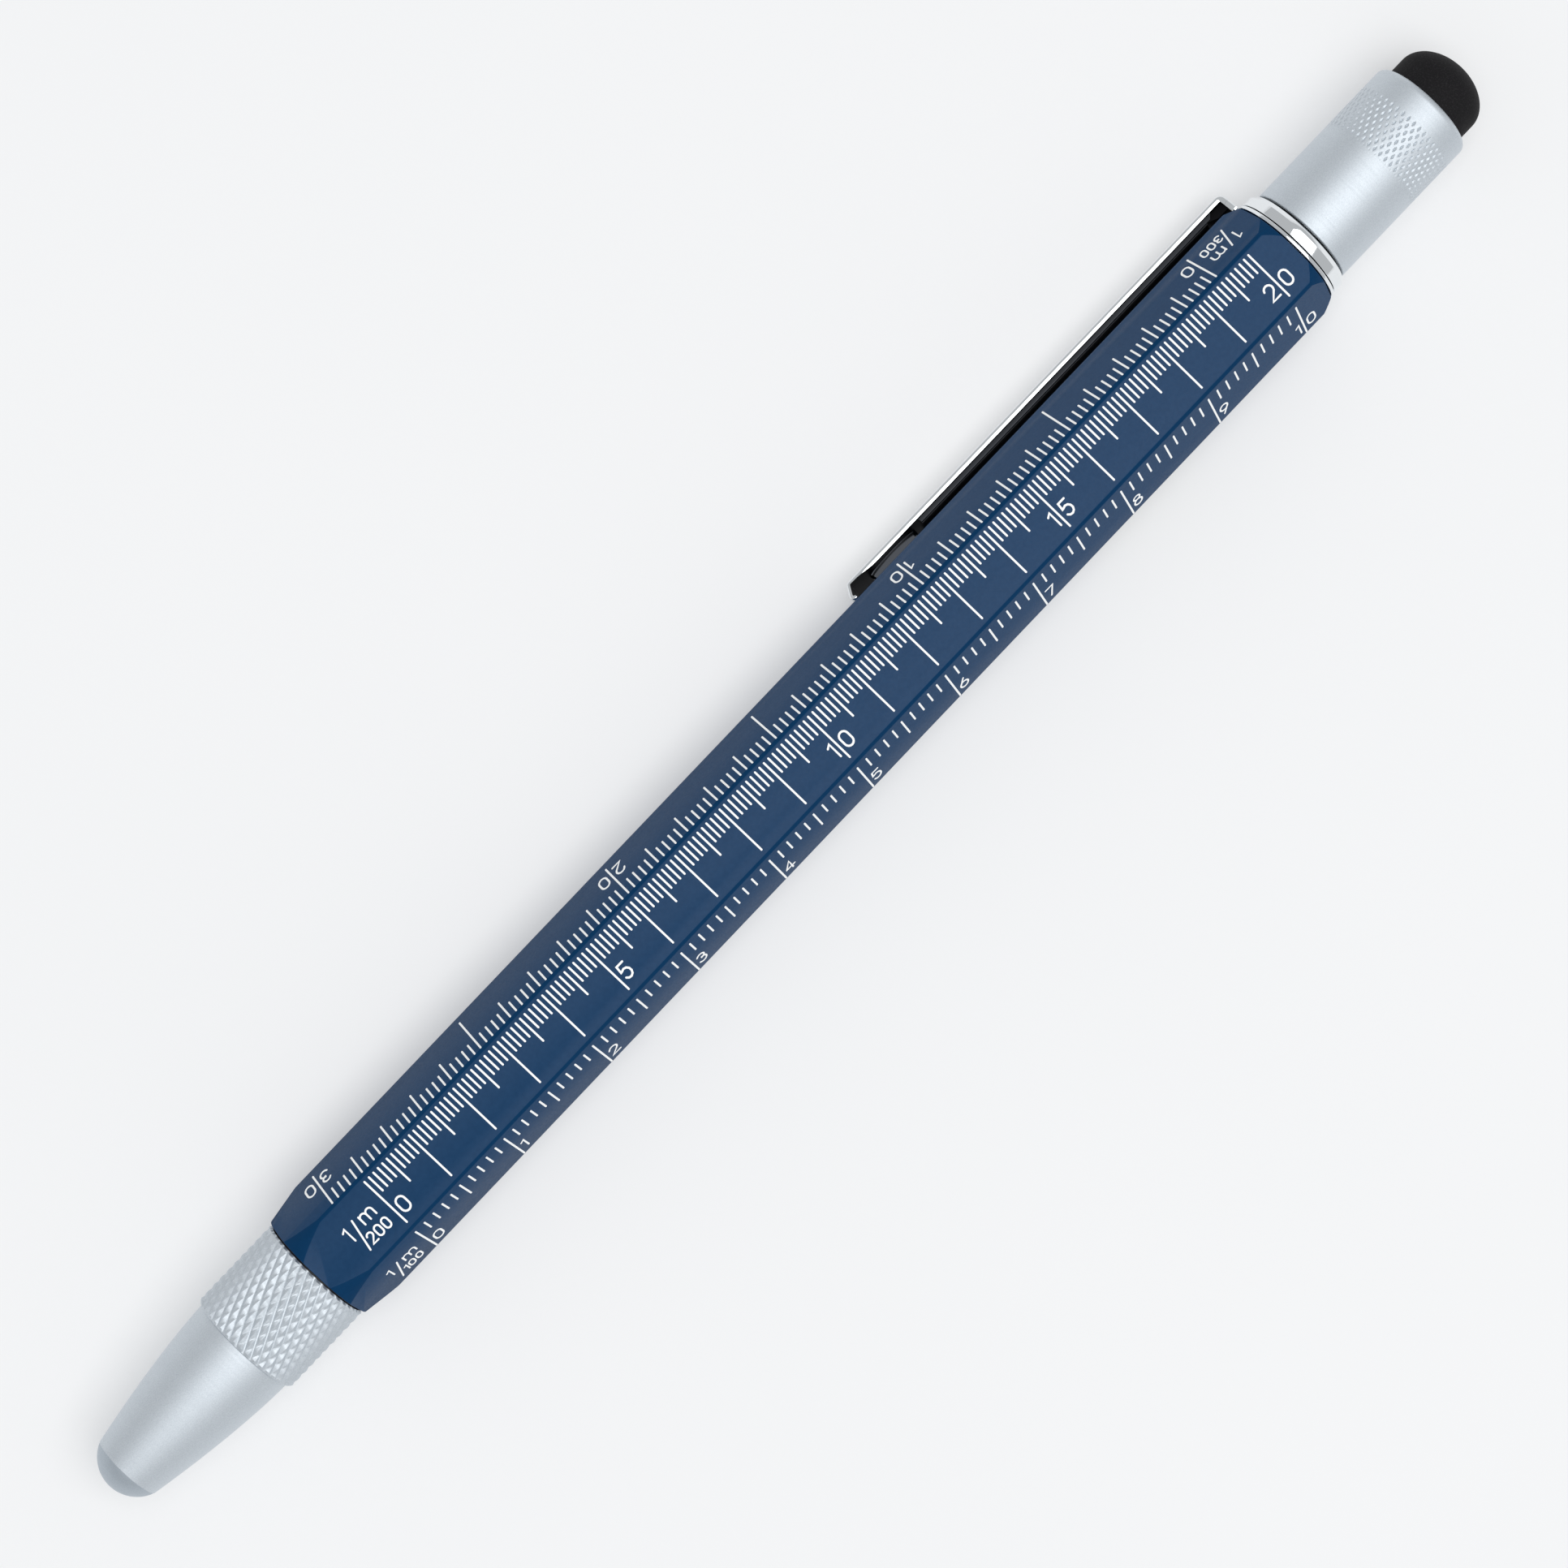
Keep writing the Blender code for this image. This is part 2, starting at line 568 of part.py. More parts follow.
def make_nib():
    """The nib: a sheet bent round the feed, narrowing and curving down to its point."""
    shape = bmesh.new()
    rows = []
    full_half_width = NIB_OUTER_RADIUS * math.radians(NIB_WRAP_DEG)
    for row in range(NIB_ROWS + 1):
        station = NIB_REAR + (NIB_TIP - NIB_REAR) * row / NIB_ROWS
        taper = max(0, (NOSE_FRONT - station) / NIB_REACH)
        half_width = NIB_TIP_HALF_WIDTH + (full_half_width - NIB_TIP_HALF_WIDTH) * (1 - taper ** 2)
        half_angle = half_width / NIB_OUTER_RADIUS
        line = []
        for column in range(NIB_COLUMNS + 1):
            angle = half_angle * (column + column - NIB_COLUMNS) / NIB_COLUMNS
            side = NIB_OUTER_RADIUS * math.sin(angle)
            height = NIB_OUTER_RADIUS * math.cos(angle) - nib_drop(station)
            line.append(shape.verts.new((station, side, height)))
        rows.append(line)
    for near, far in zip(rows, rows[1:]):
        for column in range(NIB_COLUMNS):
            shape.faces.new((near[column], near[column + 1], far[column + 1], far[column]))
    mesh = bpy.data.meshes.new("nib")
    shape.to_mesh(mesh)
    shape.free()
    nib = add_mesh("nib", mesh, face_frame(0), PEN)
    sheet = nib.modifiers.new("sheet", "SOLIDIFY")
    sheet.thickness = NIB_THICKNESS
    sheet.offset = -1
    finish(nib, STEEL)


def make_converter():
    """The screw-piston ink supply: mouth, clear tube, piston on its rod, collar and knob."""
    spigot_radius = CONVERTER_TUBE_BORE - FIT_GAP
    nipple_bore = NIPPLE_RADIUS + FIT_GAP
    nipple_seat = NIPPLE_END + END_GAP
    outline = [
        (CONVERTER_FRONT, CONVERTER_RADIUS),
        (CONVERTER_MOUTH_END, CONVERTER_RADIUS),
        (CONVERTER_MOUTH_END, spigot_radius),
        (MOUTH_SPIGOT_END, spigot_radius),
        (MOUTH_SPIGOT_END, INK_CHANNEL_RADIUS),
        (nipple_seat, INK_CHANNEL_RADIUS),
        (nipple_seat, nipple_bore),
        (CONVERTER_FRONT, nipple_bore),
    ]
    turned("converter_mouth", outline, HIDDEN_SIDES, STEEL)
    body = tube(CONVERTER_TUBE_FRONT, CONVERTER_TUBE_REAR, CONVERTER_RADIUS - SEAM, CONVERTER_TUBE_BORE)
    turned("converter_tube", body, HIDDEN_SIDES, CLEAR_PLASTIC)
    waist = spigot_radius - PISTON_WAIST_DEPTH
    bore = ROD_RADIUS + FIT_GAP
    outline = [
        (PISTON_FRONT, 0),
        (PISTON_FRONT, spigot_radius),
        (PISTON_FRONT + PISTON_LIP_LENGTH, spigot_radius),
        (PISTON_FRONT + PISTON_LIP_LENGTH, waist),
        (PISTON_REAR - PISTON_LIP_LENGTH, waist),
        (PISTON_REAR - PISTON_LIP_LENGTH, spigot_radius),
        (PISTON_REAR, spigot_radius),
        (PISTON_REAR, bore),
        (ROD_FRONT - FIT_GAP, bore),
        (ROD_FRONT - FIT_GAP, 0),
    ]
    turned("converter_piston", outline, HIDDEN_SIDES, BLACK_RUBBER)
    rod("converter_rod", ROD_RADIUS, ROD_FRONT, ROD_REAR, face_frame(0), PEN, STEEL)
    stem_bore = KNOB_STEM_RADIUS + SLIDE_GAP
    outline = [
        (CONVERTER_COLLAR_FRONT - COLLAR_SPIGOT_LENGTH, spigot_radius),
        (CONVERTER_COLLAR_FRONT, spigot_radius),
        (CONVERTER_COLLAR_FRONT, CONVERTER_RADIUS),
        (CONVERTER_COLLAR_REAR, CONVERTER_RADIUS),
        (CONVERTER_COLLAR_REAR, stem_bore),
        (CONVERTER_COLLAR_FRONT - COLLAR_SPIGOT_LENGTH, stem_bore),
    ]
    turned("converter_collar", outline, HIDDEN_SIDES, STEEL)
    rod_bore = ROD_RADIUS + SLIDE_GAP
    edge = (KNOB_REAR - KNOB_ROUND, KNOB_RADIUS - KNOB_ROUND)
    rounded = arc(edge, (KNOB_ROUND, KNOB_ROUND), 90, 0, ROUND_STEPS)
    outline = [
        (KNOB_REAR - KNOB_END_WALL, 0),
        (KNOB_REAR - KNOB_END_WALL, rod_bore),
        (CONVERTER_COLLAR_FRONT, rod_bore),
        (CONVERTER_COLLAR_FRONT, KNOB_STEM_RADIUS),
        (KNOB_FRONT, KNOB_STEM_RADIUS),
        (KNOB_FRONT, KNOB_RADIUS),
    ]
    turned("converter_knob", outline + rounded + [(KNOB_REAR, 0)], HIDDEN_SIDES, BLACK_PLASTIC)


def make_rear_collar():
    """The chrome collar with its sleeve in the barrel and its neck in the touch-tip cap."""
    outline = [
        (SLEEVE_FRONT, BARREL_BORE_RADIUS - FIT_GAP),
        (COLLAR_FRONT, BARREL_BORE_RADIUS - FIT_GAP),
        (COLLAR_FRONT, COLLAR_RADIUS),
        (COLLAR_BAND_END, COLLAR_RADIUS - FIT_GAP / 2),
        (COLLAR_REAR, COLLAR_CHAMFER_RADIUS),
        (COLLAR_REAR, COLLAR_NECK_RADIUS),
        (COLLAR_NECK_END, COLLAR_NECK_RADIUS),
        (COLLAR_NECK_END, COLLAR_BORE_RADIUS),
        (SLEEVE_FRONT, COLLAR_BORE_RADIUS),
    ]
    turned("rear_collar", outline, SHOW_SIDES, MIRROR_CHROME)
    seal_middle = STYLUS_MOUTH + COLLAR_SEAL_THICKNESS / 2 + FIT_GAP
    ring("collar_seal", COLLAR_SEAL_RADIUS, COLLAR_SEAL_THICKNESS, seal_middle, BLACK_RUBBER)


def make_bit():
    """The socket in the collar, its magnet, and the double-ended bit: cross and slotted."""
    holder = rod("bit_holder", HOLDER_RADIUS, HOLDER_FRONT, COLLAR_NECK_END, face_frame(0), PEN, STEEL)
    socket_ends = (HOLDER_FRONT - CUT_OVERRUN, COLLAR_NECK_END + CUT_OVERRUN)
    boolean(holder, prism("socket_cut", SOCKET_ACROSS_FLATS, *socket_ends), "DIFFERENCE")
    magnet_radius = BIT_ACROSS_FLATS / 2 - FIT_GAP
    rod("bit_magnet", magnet_radius, MAGNET_FRONT, MAGNET_REAR, face_frame(0), PEN, STEEL)
    bit = prism("driver_bit", BIT_ACROSS_FLATS, BIT_FRONT, BIT_REAR, PEN)
    hexagon = BIT_ACROSS_FLATS / math.sqrt(3)
    front_neck = BIT_FRONT + BIT_POINT_LENGTH
    rear_neck = BIT_REAR - BIT_POINT_LENGTH
    outline = [
        (BIT_FRONT - CUT_OVERRUN, 0),
        (BIT_FRONT - CUT_OVERRUN, BIT_NECK_RADIUS),
        (front_neck, BIT_NECK_RADIUS),
        (front_neck + BIT_SHOULDER_LENGTH, hexagon + FIT_GAP),
        (rear_neck - BIT_SHOULDER_LENGTH, hexagon + FIT_GAP),
        (rear_neck, BIT_NECK_RADIUS),
        (BIT_REAR - BIT_NECK_RADIUS, BIT_NECK_RADIUS),
        (BIT_REAR, CROSS_TIP_RADIUS),
        (BIT_REAR + CUT_OVERRUN, 0),
    ]
    boolean(bit, turned("bit_envelope", outline, HIDDEN_SIDES, None, CUTTERS), "INTERSECT")
    side = BIT_NECK_RADIUS + CUT_OVERRUN
    outwards = (side + CROSS_WEB) / 2
    flute_middle = Matrix.Translation((BIT_REAR - CROSS_FLUTE_LENGTH + side, outwards, outwards))
    for flute in range(CROSS_FLUTES):
        place = face_frame(360 / CROSS_FLUTES * flute) @ flute_middle
        boolean(bit, block(f"flute_cut_{flute + 1}", (side + side, side, side), place), "DIFFERENCE")
    for face, face_deg in (("top", 0), ("bottom", 180)):
        tip = face_frame(face_deg) @ Matrix.Translation((BIT_FRONT, 0, BLADE_THICKNESS / 2))
        tilt = Matrix.Rotation(-math.radians(BLADE_WEDGE_DEG), 4, "Y")
        place = tip @ tilt @ Matrix.Translation((BLADE_LENGTH - side, 0, side / 2))
        boolean(bit, block(f"blade_cut_{face}", (side + side, side + side, side), place), "DIFFERENCE")
    finish(bit, STEEL)


def make_stylus_cap():
    """The turned cap over the bit, with its insert and the rubber dome that it holds."""
    edge = (STYLUS_END - STYLUS_CAP_ROUND, STYLUS_CAP_RADIUS - STYLUS_CAP_ROUND)
    outline = [(STYLUS_MOUTH, STYLUS_CAP_RADIUS)]
    outline += arc(edge, (STYLUS_CAP_ROUND, STYLUS_CAP_ROUND), 90, 0)
    outline += [
        (STYLUS_END, STYLUS_OPENING_RADIUS),
        (STYLUS_SHOULDER, STYLUS_OPENING_RADIUS),
        (STYLUS_SHOULDER, STYLUS_BORE_RADIUS),
        (STYLUS_MOUTH, STYLUS_BORE_RADIUS),
    ]
    turned("stylus_cap", outline, SHOW_SIDES, SATIN_ALUMINIUM)
    insert_end = STYLUS_INSERT_FRONT + STYLUS_INSERT_LENGTH
    insert = tube(STYLUS_INSERT_FRONT, insert_end, LIP_RADIUS, COLLAR_NECK_RADIUS + SLIDE_GAP)
    turned("stylus_insert", insert, HIDDEN_SIDES, BRASS)
    retainer = tube(RETAINER_REAR - RETAINER_LENGTH, RETAINER_REAR, LIP_RADIUS, LIP_RADIUS - RETAINER_WALL)
    turned("stylus_retainer", retainer, HIDDEN_SIDES, BRASS)
    hollow = TIP_RADIUS - TIP_WALL
    hollow_height = TIP_DOME_HEIGHT - TIP_WALL
    outline = [(TIP_DOME_START + hollow_height, 0)]
    outline += arc((TIP_DOME_START, 0), (hollow_height, hollow), 0, 90)[1:]
    outline += [
        (LIP_FRONT, hollow),
        (LIP_FRONT, LIP_RADIUS),
        (LIP_FRONT + STYLUS_LIP_LENGTH, LIP_RADIUS),
        (LIP_FRONT + STYLUS_LIP_LENGTH, TIP_RADIUS),
    ]
    outline += arc((TIP_DOME_START, 0), (TIP_DOME_HEIGHT, TIP_RADIUS), 90, 0)[:-1]
    turned("stylus_tip", outline + [(TIP_END, 0)], SHOW_SIDES, BLACK_RUBBER)
    core = hollow - FIT_GAP
    core_height = hollow_height - FIT_GAP
    outline = [(CORE_FRONT, 0), (CORE_FRONT, core)]
    outline += arc((TIP_DOME_START, 0), (core_height, core), 90, 0)[:-1]
    turned("stylus_core", outline + [(TIP_DOME_START + core_height, 0)], HIDDEN_SIDES, BLACK_PLASTIC)


def make_clip():
    """The clip's washer with its tab, and the folded arm that flexes at the bend above it."""
    face = face_frame(CLIP_FACE_DEG)
    washer = tube(CLIP_RING_FRONT, CLIP_RING_REAR, CLIP_RING_RADIUS, BARREL_BORE_RADIUS)
    clip_ring = turned("clip_ring", washer, SHOW_SIDES, MIRROR_CHROME)
    tab_start = CLIP_RING_RADIUS - CLIP_SIDE_WALL
    tab_middle = ((CLIP_RING_FRONT + CLIP_RING_REAR) / 2, 0, (tab_start + CLIP_TAB_OFFSET) / 2)
    tab_size = (CLIP_RING_THICKNESS, CLIP_WIDTH, CLIP_TAB_OFFSET - tab_start)
    boolean(clip_ring, block("clip_tab", tab_size, face @ Matrix.Translation(tab_middle)), "UNION")
    make_clip_arm(face)


def make_clip_arm(face):
    """The arm: a side outline, given its width, hollowed underneath and fitted with its bump."""
    foot_front = CLIP_REAR - CLIP_RING_THICKNESS
    tail = CLIP_REAR - CLIP_BEND_RADIUS
    top = CLIP_TOP_OFFSET - CLIP_BEND_RADIUS
    nose = CLIP_TIP + CLIP_BEND_RADIUS
    side = [(CLIP_REAR, CLIP_TAB_OFFSET + SEAM)]
    side += arc((tail, top), (CLIP_BEND_RADIUS, CLIP_BEND_RADIUS), 0, 90)
    side += arc((nose, top), (CLIP_BEND_RADIUS, CLIP_BEND_RADIUS), 90, 180)
    side += [
        (CLIP_TIP, CLIP_UNDER_OFFSET),
        (foot_front - CLIP_BEND_RADIUS, CLIP_UNDER_OFFSET),
        (foot_front, CLIP_TAB_OFFSET + SEAM),
    ]
    outline = bpy.data.curves.new("clip_arm", "CURVE")
    outline.dimensions = "2D"
    outline.fill_mode = "BOTH"
    outline.extrude = CLIP_WIDTH / 2
    spline = outline.splines.new("POLY")
    spline.points.add(len(side) - 1)
    for point, (station, offset) in zip(spline.points, side):
        point.co = (station, offset, 0, 1)
    spline.use_cyclic_u = True
    flat = bpy.data.objects.new("clip_outline", outline)
    flat.matrix_world = face @ Matrix.Rotation(math.radians(90), 4, "X")
    PEN.objects.link(flat)
    arm = curve_to_mesh(flat, "clip_arm")
    inside_front = CLIP_TIP + CLIP_NOSE_LENGTH
    inside_rear = CLIP_REAR - CLIP_TAIL_LENGTH
    inside_top = CLIP_TOP_OFFSET - CLIP_PLATE
    channel = (inside_rear - inside_front, CLIP_WIDTH - CLIP_SIDE_WALL - CLIP_SIDE_WALL, CLIP_DEPTH)
    middle = ((inside_front + inside_rear) / 2, 0, inside_top - CLIP_DEPTH / 2)
    boolean(arm, block("channel_cut", channel, face @ Matrix.Translation(middle)), "DIFFERENCE")
    bump_bottom = BARREL_ACROSS_FLATS / 2 + SEAM
    bump_middle = (CLIP_TIP + BUMP_SETBACK, 0, inside_top)
    bump_size = (BUMP_LENGTH, BUMP_WIDTH, (inside_top - bump_bottom) + (inside_top - bump_bottom))
    bump = ball("clip_bump", bump_size, face @ Matrix.Translation(bump_middle))
    trim_middle = (CLIP_TIP + BUMP_SETBACK, 0, inside_top + CLIP_PLATE / 2 + CLIP_WIDTH / 2)
    trim_size = (BUMP_LENGTH + CLIP_DEPTH, CLIP_WIDTH, CLIP_WIDTH)
    boolean(bump, block("bump_trim", trim_size, face @ Matrix.Translation(trim_middle)), "DIFFERENCE")
    boolean(arm, bump, "UNION")
    finish(arm, MIRROR_CHROME)


def curve_to_mesh(curve_object, name):
    """Turns a filled curve into a closed mesh object in its place."""
    bpy.context.view_layer.update()
    evaluated = curve_object.evaluated_get(bpy.context.evaluated_depsgraph_get())
    mesh = bpy.data.meshes.new_from_object(evaluated)
    matrix = curve_object.matrix_world.copy()
    bpy.data.objects.remove(curve_object, do_unlink=True)
    shape = bmesh.new()
    shape.from_mesh(mesh)
    bmesh.ops.remove_doubles(shape, verts=shape.verts, dist=MERGE_DISTANCE)
    bmesh.ops.recalc_face_normals(shape, faces=shape.faces)
    shape.to_mesh(mesh)
    shape.free()
    return add_mesh(name, mesh, matrix, PEN)


def make_level():
    """The spirit level behind its window: cradle, vial with plugs, fluid and clear cover."""
    face = face_frame(LEVEL_FACE_DEG)
    vial_line = face @ Matrix.Translation((0, 0, VIAL_OFFSET))
    cradle_radius = BARREL_BORE_RADIUS - FIT_GAP
    cradle = rod("level_cradle", cradle_radius, CRADLE_FRONT, CRADLE_REAR, face_frame(0), PEN, BLACK_PLASTIC)
    vial_front = LEVEL_MIDDLE - VIAL_LENGTH / 2
    vial_rear = LEVEL_MIDDLE + VIAL_LENGTH / 2
    pocket = VIAL_RADIUS + FIT_GAP
    cut = rod("vial_cut", pocket, vial_front - FIT_GAP, vial_rear + FIT_GAP, vial_line, CUTTERS)
    boolean(cradle, cut, "DIFFERENCE")
    throat = (VIAL_LENGTH + FIT_GAP + FIT_GAP, pocket + pocket, cradle_radius)
    middle = (LEVEL_MIDDLE, 0, cradle_radius / 2)
    boolean(cradle, block("throat_cut", throat, vial_line @ Matrix.Translation(middle)), "DIFFERENCE")
    vial = rod("level_vial", VIAL_RADIUS, vial_front, vial_rear, vial_line, PEN, CLEAR_PLASTIC)
    bore = VIAL_RADIUS - VIAL_WALL
    cut = rod("vial_bore", bore, vial_front - CUT_OVERRUN, vial_rear + CUT_OVERRUN, vial_line, CUTTERS)
    boolean(vial, cut, "DIFFERENCE")
    filled = bore - SEAM
    rod("level_plug_front", filled, vial_front, vial_front + VIAL_PLUG_LENGTH, vial_line, PEN, BLACK_RUBBER)
    rod("level_plug_rear", filled, vial_rear - VIAL_PLUG_LENGTH, vial_rear, vial_line, PEN, BLACK_RUBBER)
    fluid_front = vial_front + VIAL_PLUG_LENGTH + SEAM
    fluid_rear = vial_rear - VIAL_PLUG_LENGTH - SEAM
    fluid = rod("level_fluid", filled, fluid_front, fluid_rear, vial_line, PEN, LEVEL_GREEN)
    bubble_place = vial_line @ Matrix.Translation((LEVEL_MIDDLE, 0, filled))
    bubble = ball("bubble_cut", (BUBBLE_LENGTH, BUBBLE_WIDTH, BUBBLE_DEPTH + BUBBLE_DEPTH), bubble_place)
    boolean(fluid, bubble, "DIFFERENCE")
    cover_bottom = BARREL_BORE_RADIUS + SEAM
    cover_top = BARREL_ACROSS_FLATS / 2 - WINDOW_SINK
    cover = (WINDOW_LENGTH - FIT_GAP - FIT_GAP, WINDOW_WIDTH - FIT_GAP - FIT_GAP, cover_top - cover_bottom)
    middle = (LEVEL_MIDDLE, 0, (cover_bottom + cover_top) / 2)
    window = block("level_window", cover, face @ Matrix.Translation(middle), PEN)
    finish(window, CLEAR_PLASTIC)


make_barrel()
make_front_cap()
make_section()
make_writing_unit()
make_converter()
make_rear_collar()
make_bit()
make_stylus_cap()
make_clip()
make_level()
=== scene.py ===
"""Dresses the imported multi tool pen, which lies on a pale sheet and is seen from straight above.

Metres, in the frame of the CAD part: X runs along the pen from the writing end to the touch tip,
+Z is up, and the pen lies on one flat of its hexagon at Z = 0. Sizes in the classes are in
millimetres: stations along the pen from the middle of the barrel, and radii or offsets from its
axis. The faces of the barrel are named by their angle from the top one.
"""

from __future__ import annotations

import logging
import math
from dataclasses import dataclass, field
from enum import Enum
from typing import Callable, Sequence

import bmesh
import bpy
from mathutils import Matrix, Vector


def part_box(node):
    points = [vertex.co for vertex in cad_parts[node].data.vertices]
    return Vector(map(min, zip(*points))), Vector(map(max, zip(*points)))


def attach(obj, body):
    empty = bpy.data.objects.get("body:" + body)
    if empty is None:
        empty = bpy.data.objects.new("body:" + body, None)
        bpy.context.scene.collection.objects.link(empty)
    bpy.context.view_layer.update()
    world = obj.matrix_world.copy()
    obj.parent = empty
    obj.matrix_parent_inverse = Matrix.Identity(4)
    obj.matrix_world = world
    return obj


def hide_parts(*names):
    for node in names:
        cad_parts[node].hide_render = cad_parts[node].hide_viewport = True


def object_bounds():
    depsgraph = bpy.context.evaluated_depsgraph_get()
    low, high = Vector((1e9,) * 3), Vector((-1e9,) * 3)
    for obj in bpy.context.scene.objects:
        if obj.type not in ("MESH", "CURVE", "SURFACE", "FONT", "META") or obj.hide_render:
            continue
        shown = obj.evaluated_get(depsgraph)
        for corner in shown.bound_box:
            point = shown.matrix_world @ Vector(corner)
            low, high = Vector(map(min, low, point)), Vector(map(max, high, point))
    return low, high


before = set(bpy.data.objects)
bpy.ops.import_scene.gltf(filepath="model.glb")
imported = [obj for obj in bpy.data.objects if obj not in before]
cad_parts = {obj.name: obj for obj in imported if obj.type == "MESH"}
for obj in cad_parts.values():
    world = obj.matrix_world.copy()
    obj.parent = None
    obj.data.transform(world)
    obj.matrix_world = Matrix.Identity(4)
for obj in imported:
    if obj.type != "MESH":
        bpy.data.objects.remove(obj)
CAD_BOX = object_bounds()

log = logging.getLogger("multi_tool_pen")

MM = 0.001
AXIS_HEIGHT = 4.95
FLAT_OFFSET = 4.95
SAME_STATION = 0.001
TOOL_CREASE_DEG = 30.0

Point = tuple[float, float]
Corner = tuple[float, float, float]
Relief = Callable[[float, float], float]
Look = bpy.types.Material
Tree = bpy.types.NodeTree
Node = bpy.types.Node
Socket = bpy.types.NodeSocket
Piece = bpy.types.Object
Shape = bmesh.types.BMesh


def srgb(code: str) -> tuple[float, float, float, float]:
    """Turns an sRGB hex colour into Blender's linear one.

    Args:
        code: six hex digits.

    Returns:
        Linear red, green and blue, and an alpha of 1.
    """
    channels = [int(code[place:place + 2], 16) / 255 for place in (0, 2, 4)]
    linear = [part / 12.92 if part <= 0.04045 else ((part + 0.055) / 1.055) ** 2.4 for part in channels]
    return (linear[0], linear[1], linear[2], 1.0)


def per_metre(size_mm: float) -> float:
    """Texture scale that repeats once in this many millimetres."""
    return 1 / (size_mm * MM)


def wire(node: Node, inputs: dict) -> None:
    """Feeds a node's sockets.

    Args:
        node: any node, the shader too.
        inputs: for each socket, by name or number, a value or the output socket that feeds it.
    """
    for socket, value in inputs.items():
        if isinstance(value, Socket):
            node.id_data.links.new(value, node.inputs[socket])
        else:
            node.inputs[socket].default_value = value


def add_node(tree: Tree, kind: str, inputs: dict | None = None, **settings) -> Node:
    """Adds a node with its settings and links.

    Args:
        tree: the material's node tree.
        kind: Blender's name for the type of node, without its leading ShaderNode.
        inputs: what feeds its sockets.
        settings: the node's own properties.

    Returns:
        The new node.
    """
    node = tree.nodes.new(f"ShaderNode{kind}")
    for name, value in settings.items():
        setattr(node, name, value)
    wire(node, inputs or {})
    return node


def mottle(shader: Node, pattern: Socket, reach: Point, amount: float, clean: str, other: str) -> None:
    """Lets a pattern shift the colour of a surface.

    Args:
        shader: the surface's Principled shader.
        pattern: the pattern's values.
        reach: the values where the shift starts and where it is full.
        amount: share of the other colour at the full shift.
        clean: sRGB hex colour of the clean surface.
        other: the colour that it shifts to.
    """
    share = add_node(shader.id_data, "MapRange", {
        "Value": pattern, "From Min": reach[0], "From Max": reach[1], "To Min": 0.0, "To Max": amount})
    mixed = add_node(shader.id_data, "Mix", {
        "Factor": share.outputs["Result"], "A": srgb(clean), "B": srgb(other)}, data_type="RGBA")
    wire(shader, {"Base Color": mixed.outputs["Result"]})


@dataclass(frozen=True)
class Finish:
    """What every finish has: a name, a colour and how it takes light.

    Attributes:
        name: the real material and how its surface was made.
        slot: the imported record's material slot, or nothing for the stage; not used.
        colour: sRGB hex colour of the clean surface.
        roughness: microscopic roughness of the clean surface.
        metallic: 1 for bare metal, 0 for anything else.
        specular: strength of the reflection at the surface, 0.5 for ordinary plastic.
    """

    name: str
    slot: str
    colour: str
    roughness: float
    metallic: float = 0.0
    specular: float = 0.5

    def make(self) -> Look:
        """Makes the material once and reuses it after that."""
        look = bpy.data.materials.get(self.name)
        if look is None:
            look = bpy.data.materials.new(self.name)
            look.use_nodes = True
            shader = look.node_tree.nodes["Principled BSDF"]
            wire(shader, {"Base Color": srgb(self.colour), "Roughness": self.roughness,
                          "Metallic": self.metallic, "Specular IOR Level": self.specular})
            self.dress(look.node_tree, shader, add_node(look.node_tree, "TexCoord").outputs["Object"])
        return look

    def dress(self, tree: Tree, shader: Node, place: Socket) -> None:
        """Adds the grain, wear and gloss of the real surface.

        Args:
            tree: the material's node tree.
            shader: its Principled shader.
            place: the place on the object, in metres.
        """


@dataclass(frozen=True)
class SatinLacquer(Finish):
    """Baked satin lacquer over brass: a soft sheen over a fine pebble of about a tenth of a millimetre."""

    pebble_mm: float = 0.16
    pebble_depth_mm: float = 0.01
    cloud_mm: float = 0.4
    deep_colour: str = "073357"

    def dress(self, tree: Tree, shader: Node, place: Socket) -> None:
        """Pebble in the sheen and relief, and a very faint cloudiness in the colour.

        Args:
            tree: the material's node tree.
            shader: its Principled shader.
            place: the place on the object, in metres.
        """
        pebble = add_node(tree, "TexNoise", {
            "Vector": place, "Scale": per_metre(self.pebble_mm), "Detail": 3.0}).outputs["Fac"]
        cloud = add_node(tree, "TexNoise", {
            "Vector": place, "Scale": per_metre(self.cloud_mm), "Detail": 2.0}).outputs["Fac"]
        mottle(shader, cloud, (0.3, 0.7), 0.45, self.colour, self.deep_colour)
        sheen = add_node(tree, "MapRange", {
            "Value": pebble, "From Min": 0.25, "From Max": 0.75,
            "To Min": self.roughness - 0.05, "To Max": self.roughness + 0.07})
        relief = add_node(tree, "Bump", {
            "Height": pebble, "Strength": 0.22, "Distance": self.pebble_depth_mm * MM})
        wire(shader, {"Roughness": sheen.outputs["Result"], "Normal": relief.outputs["Normal"]})


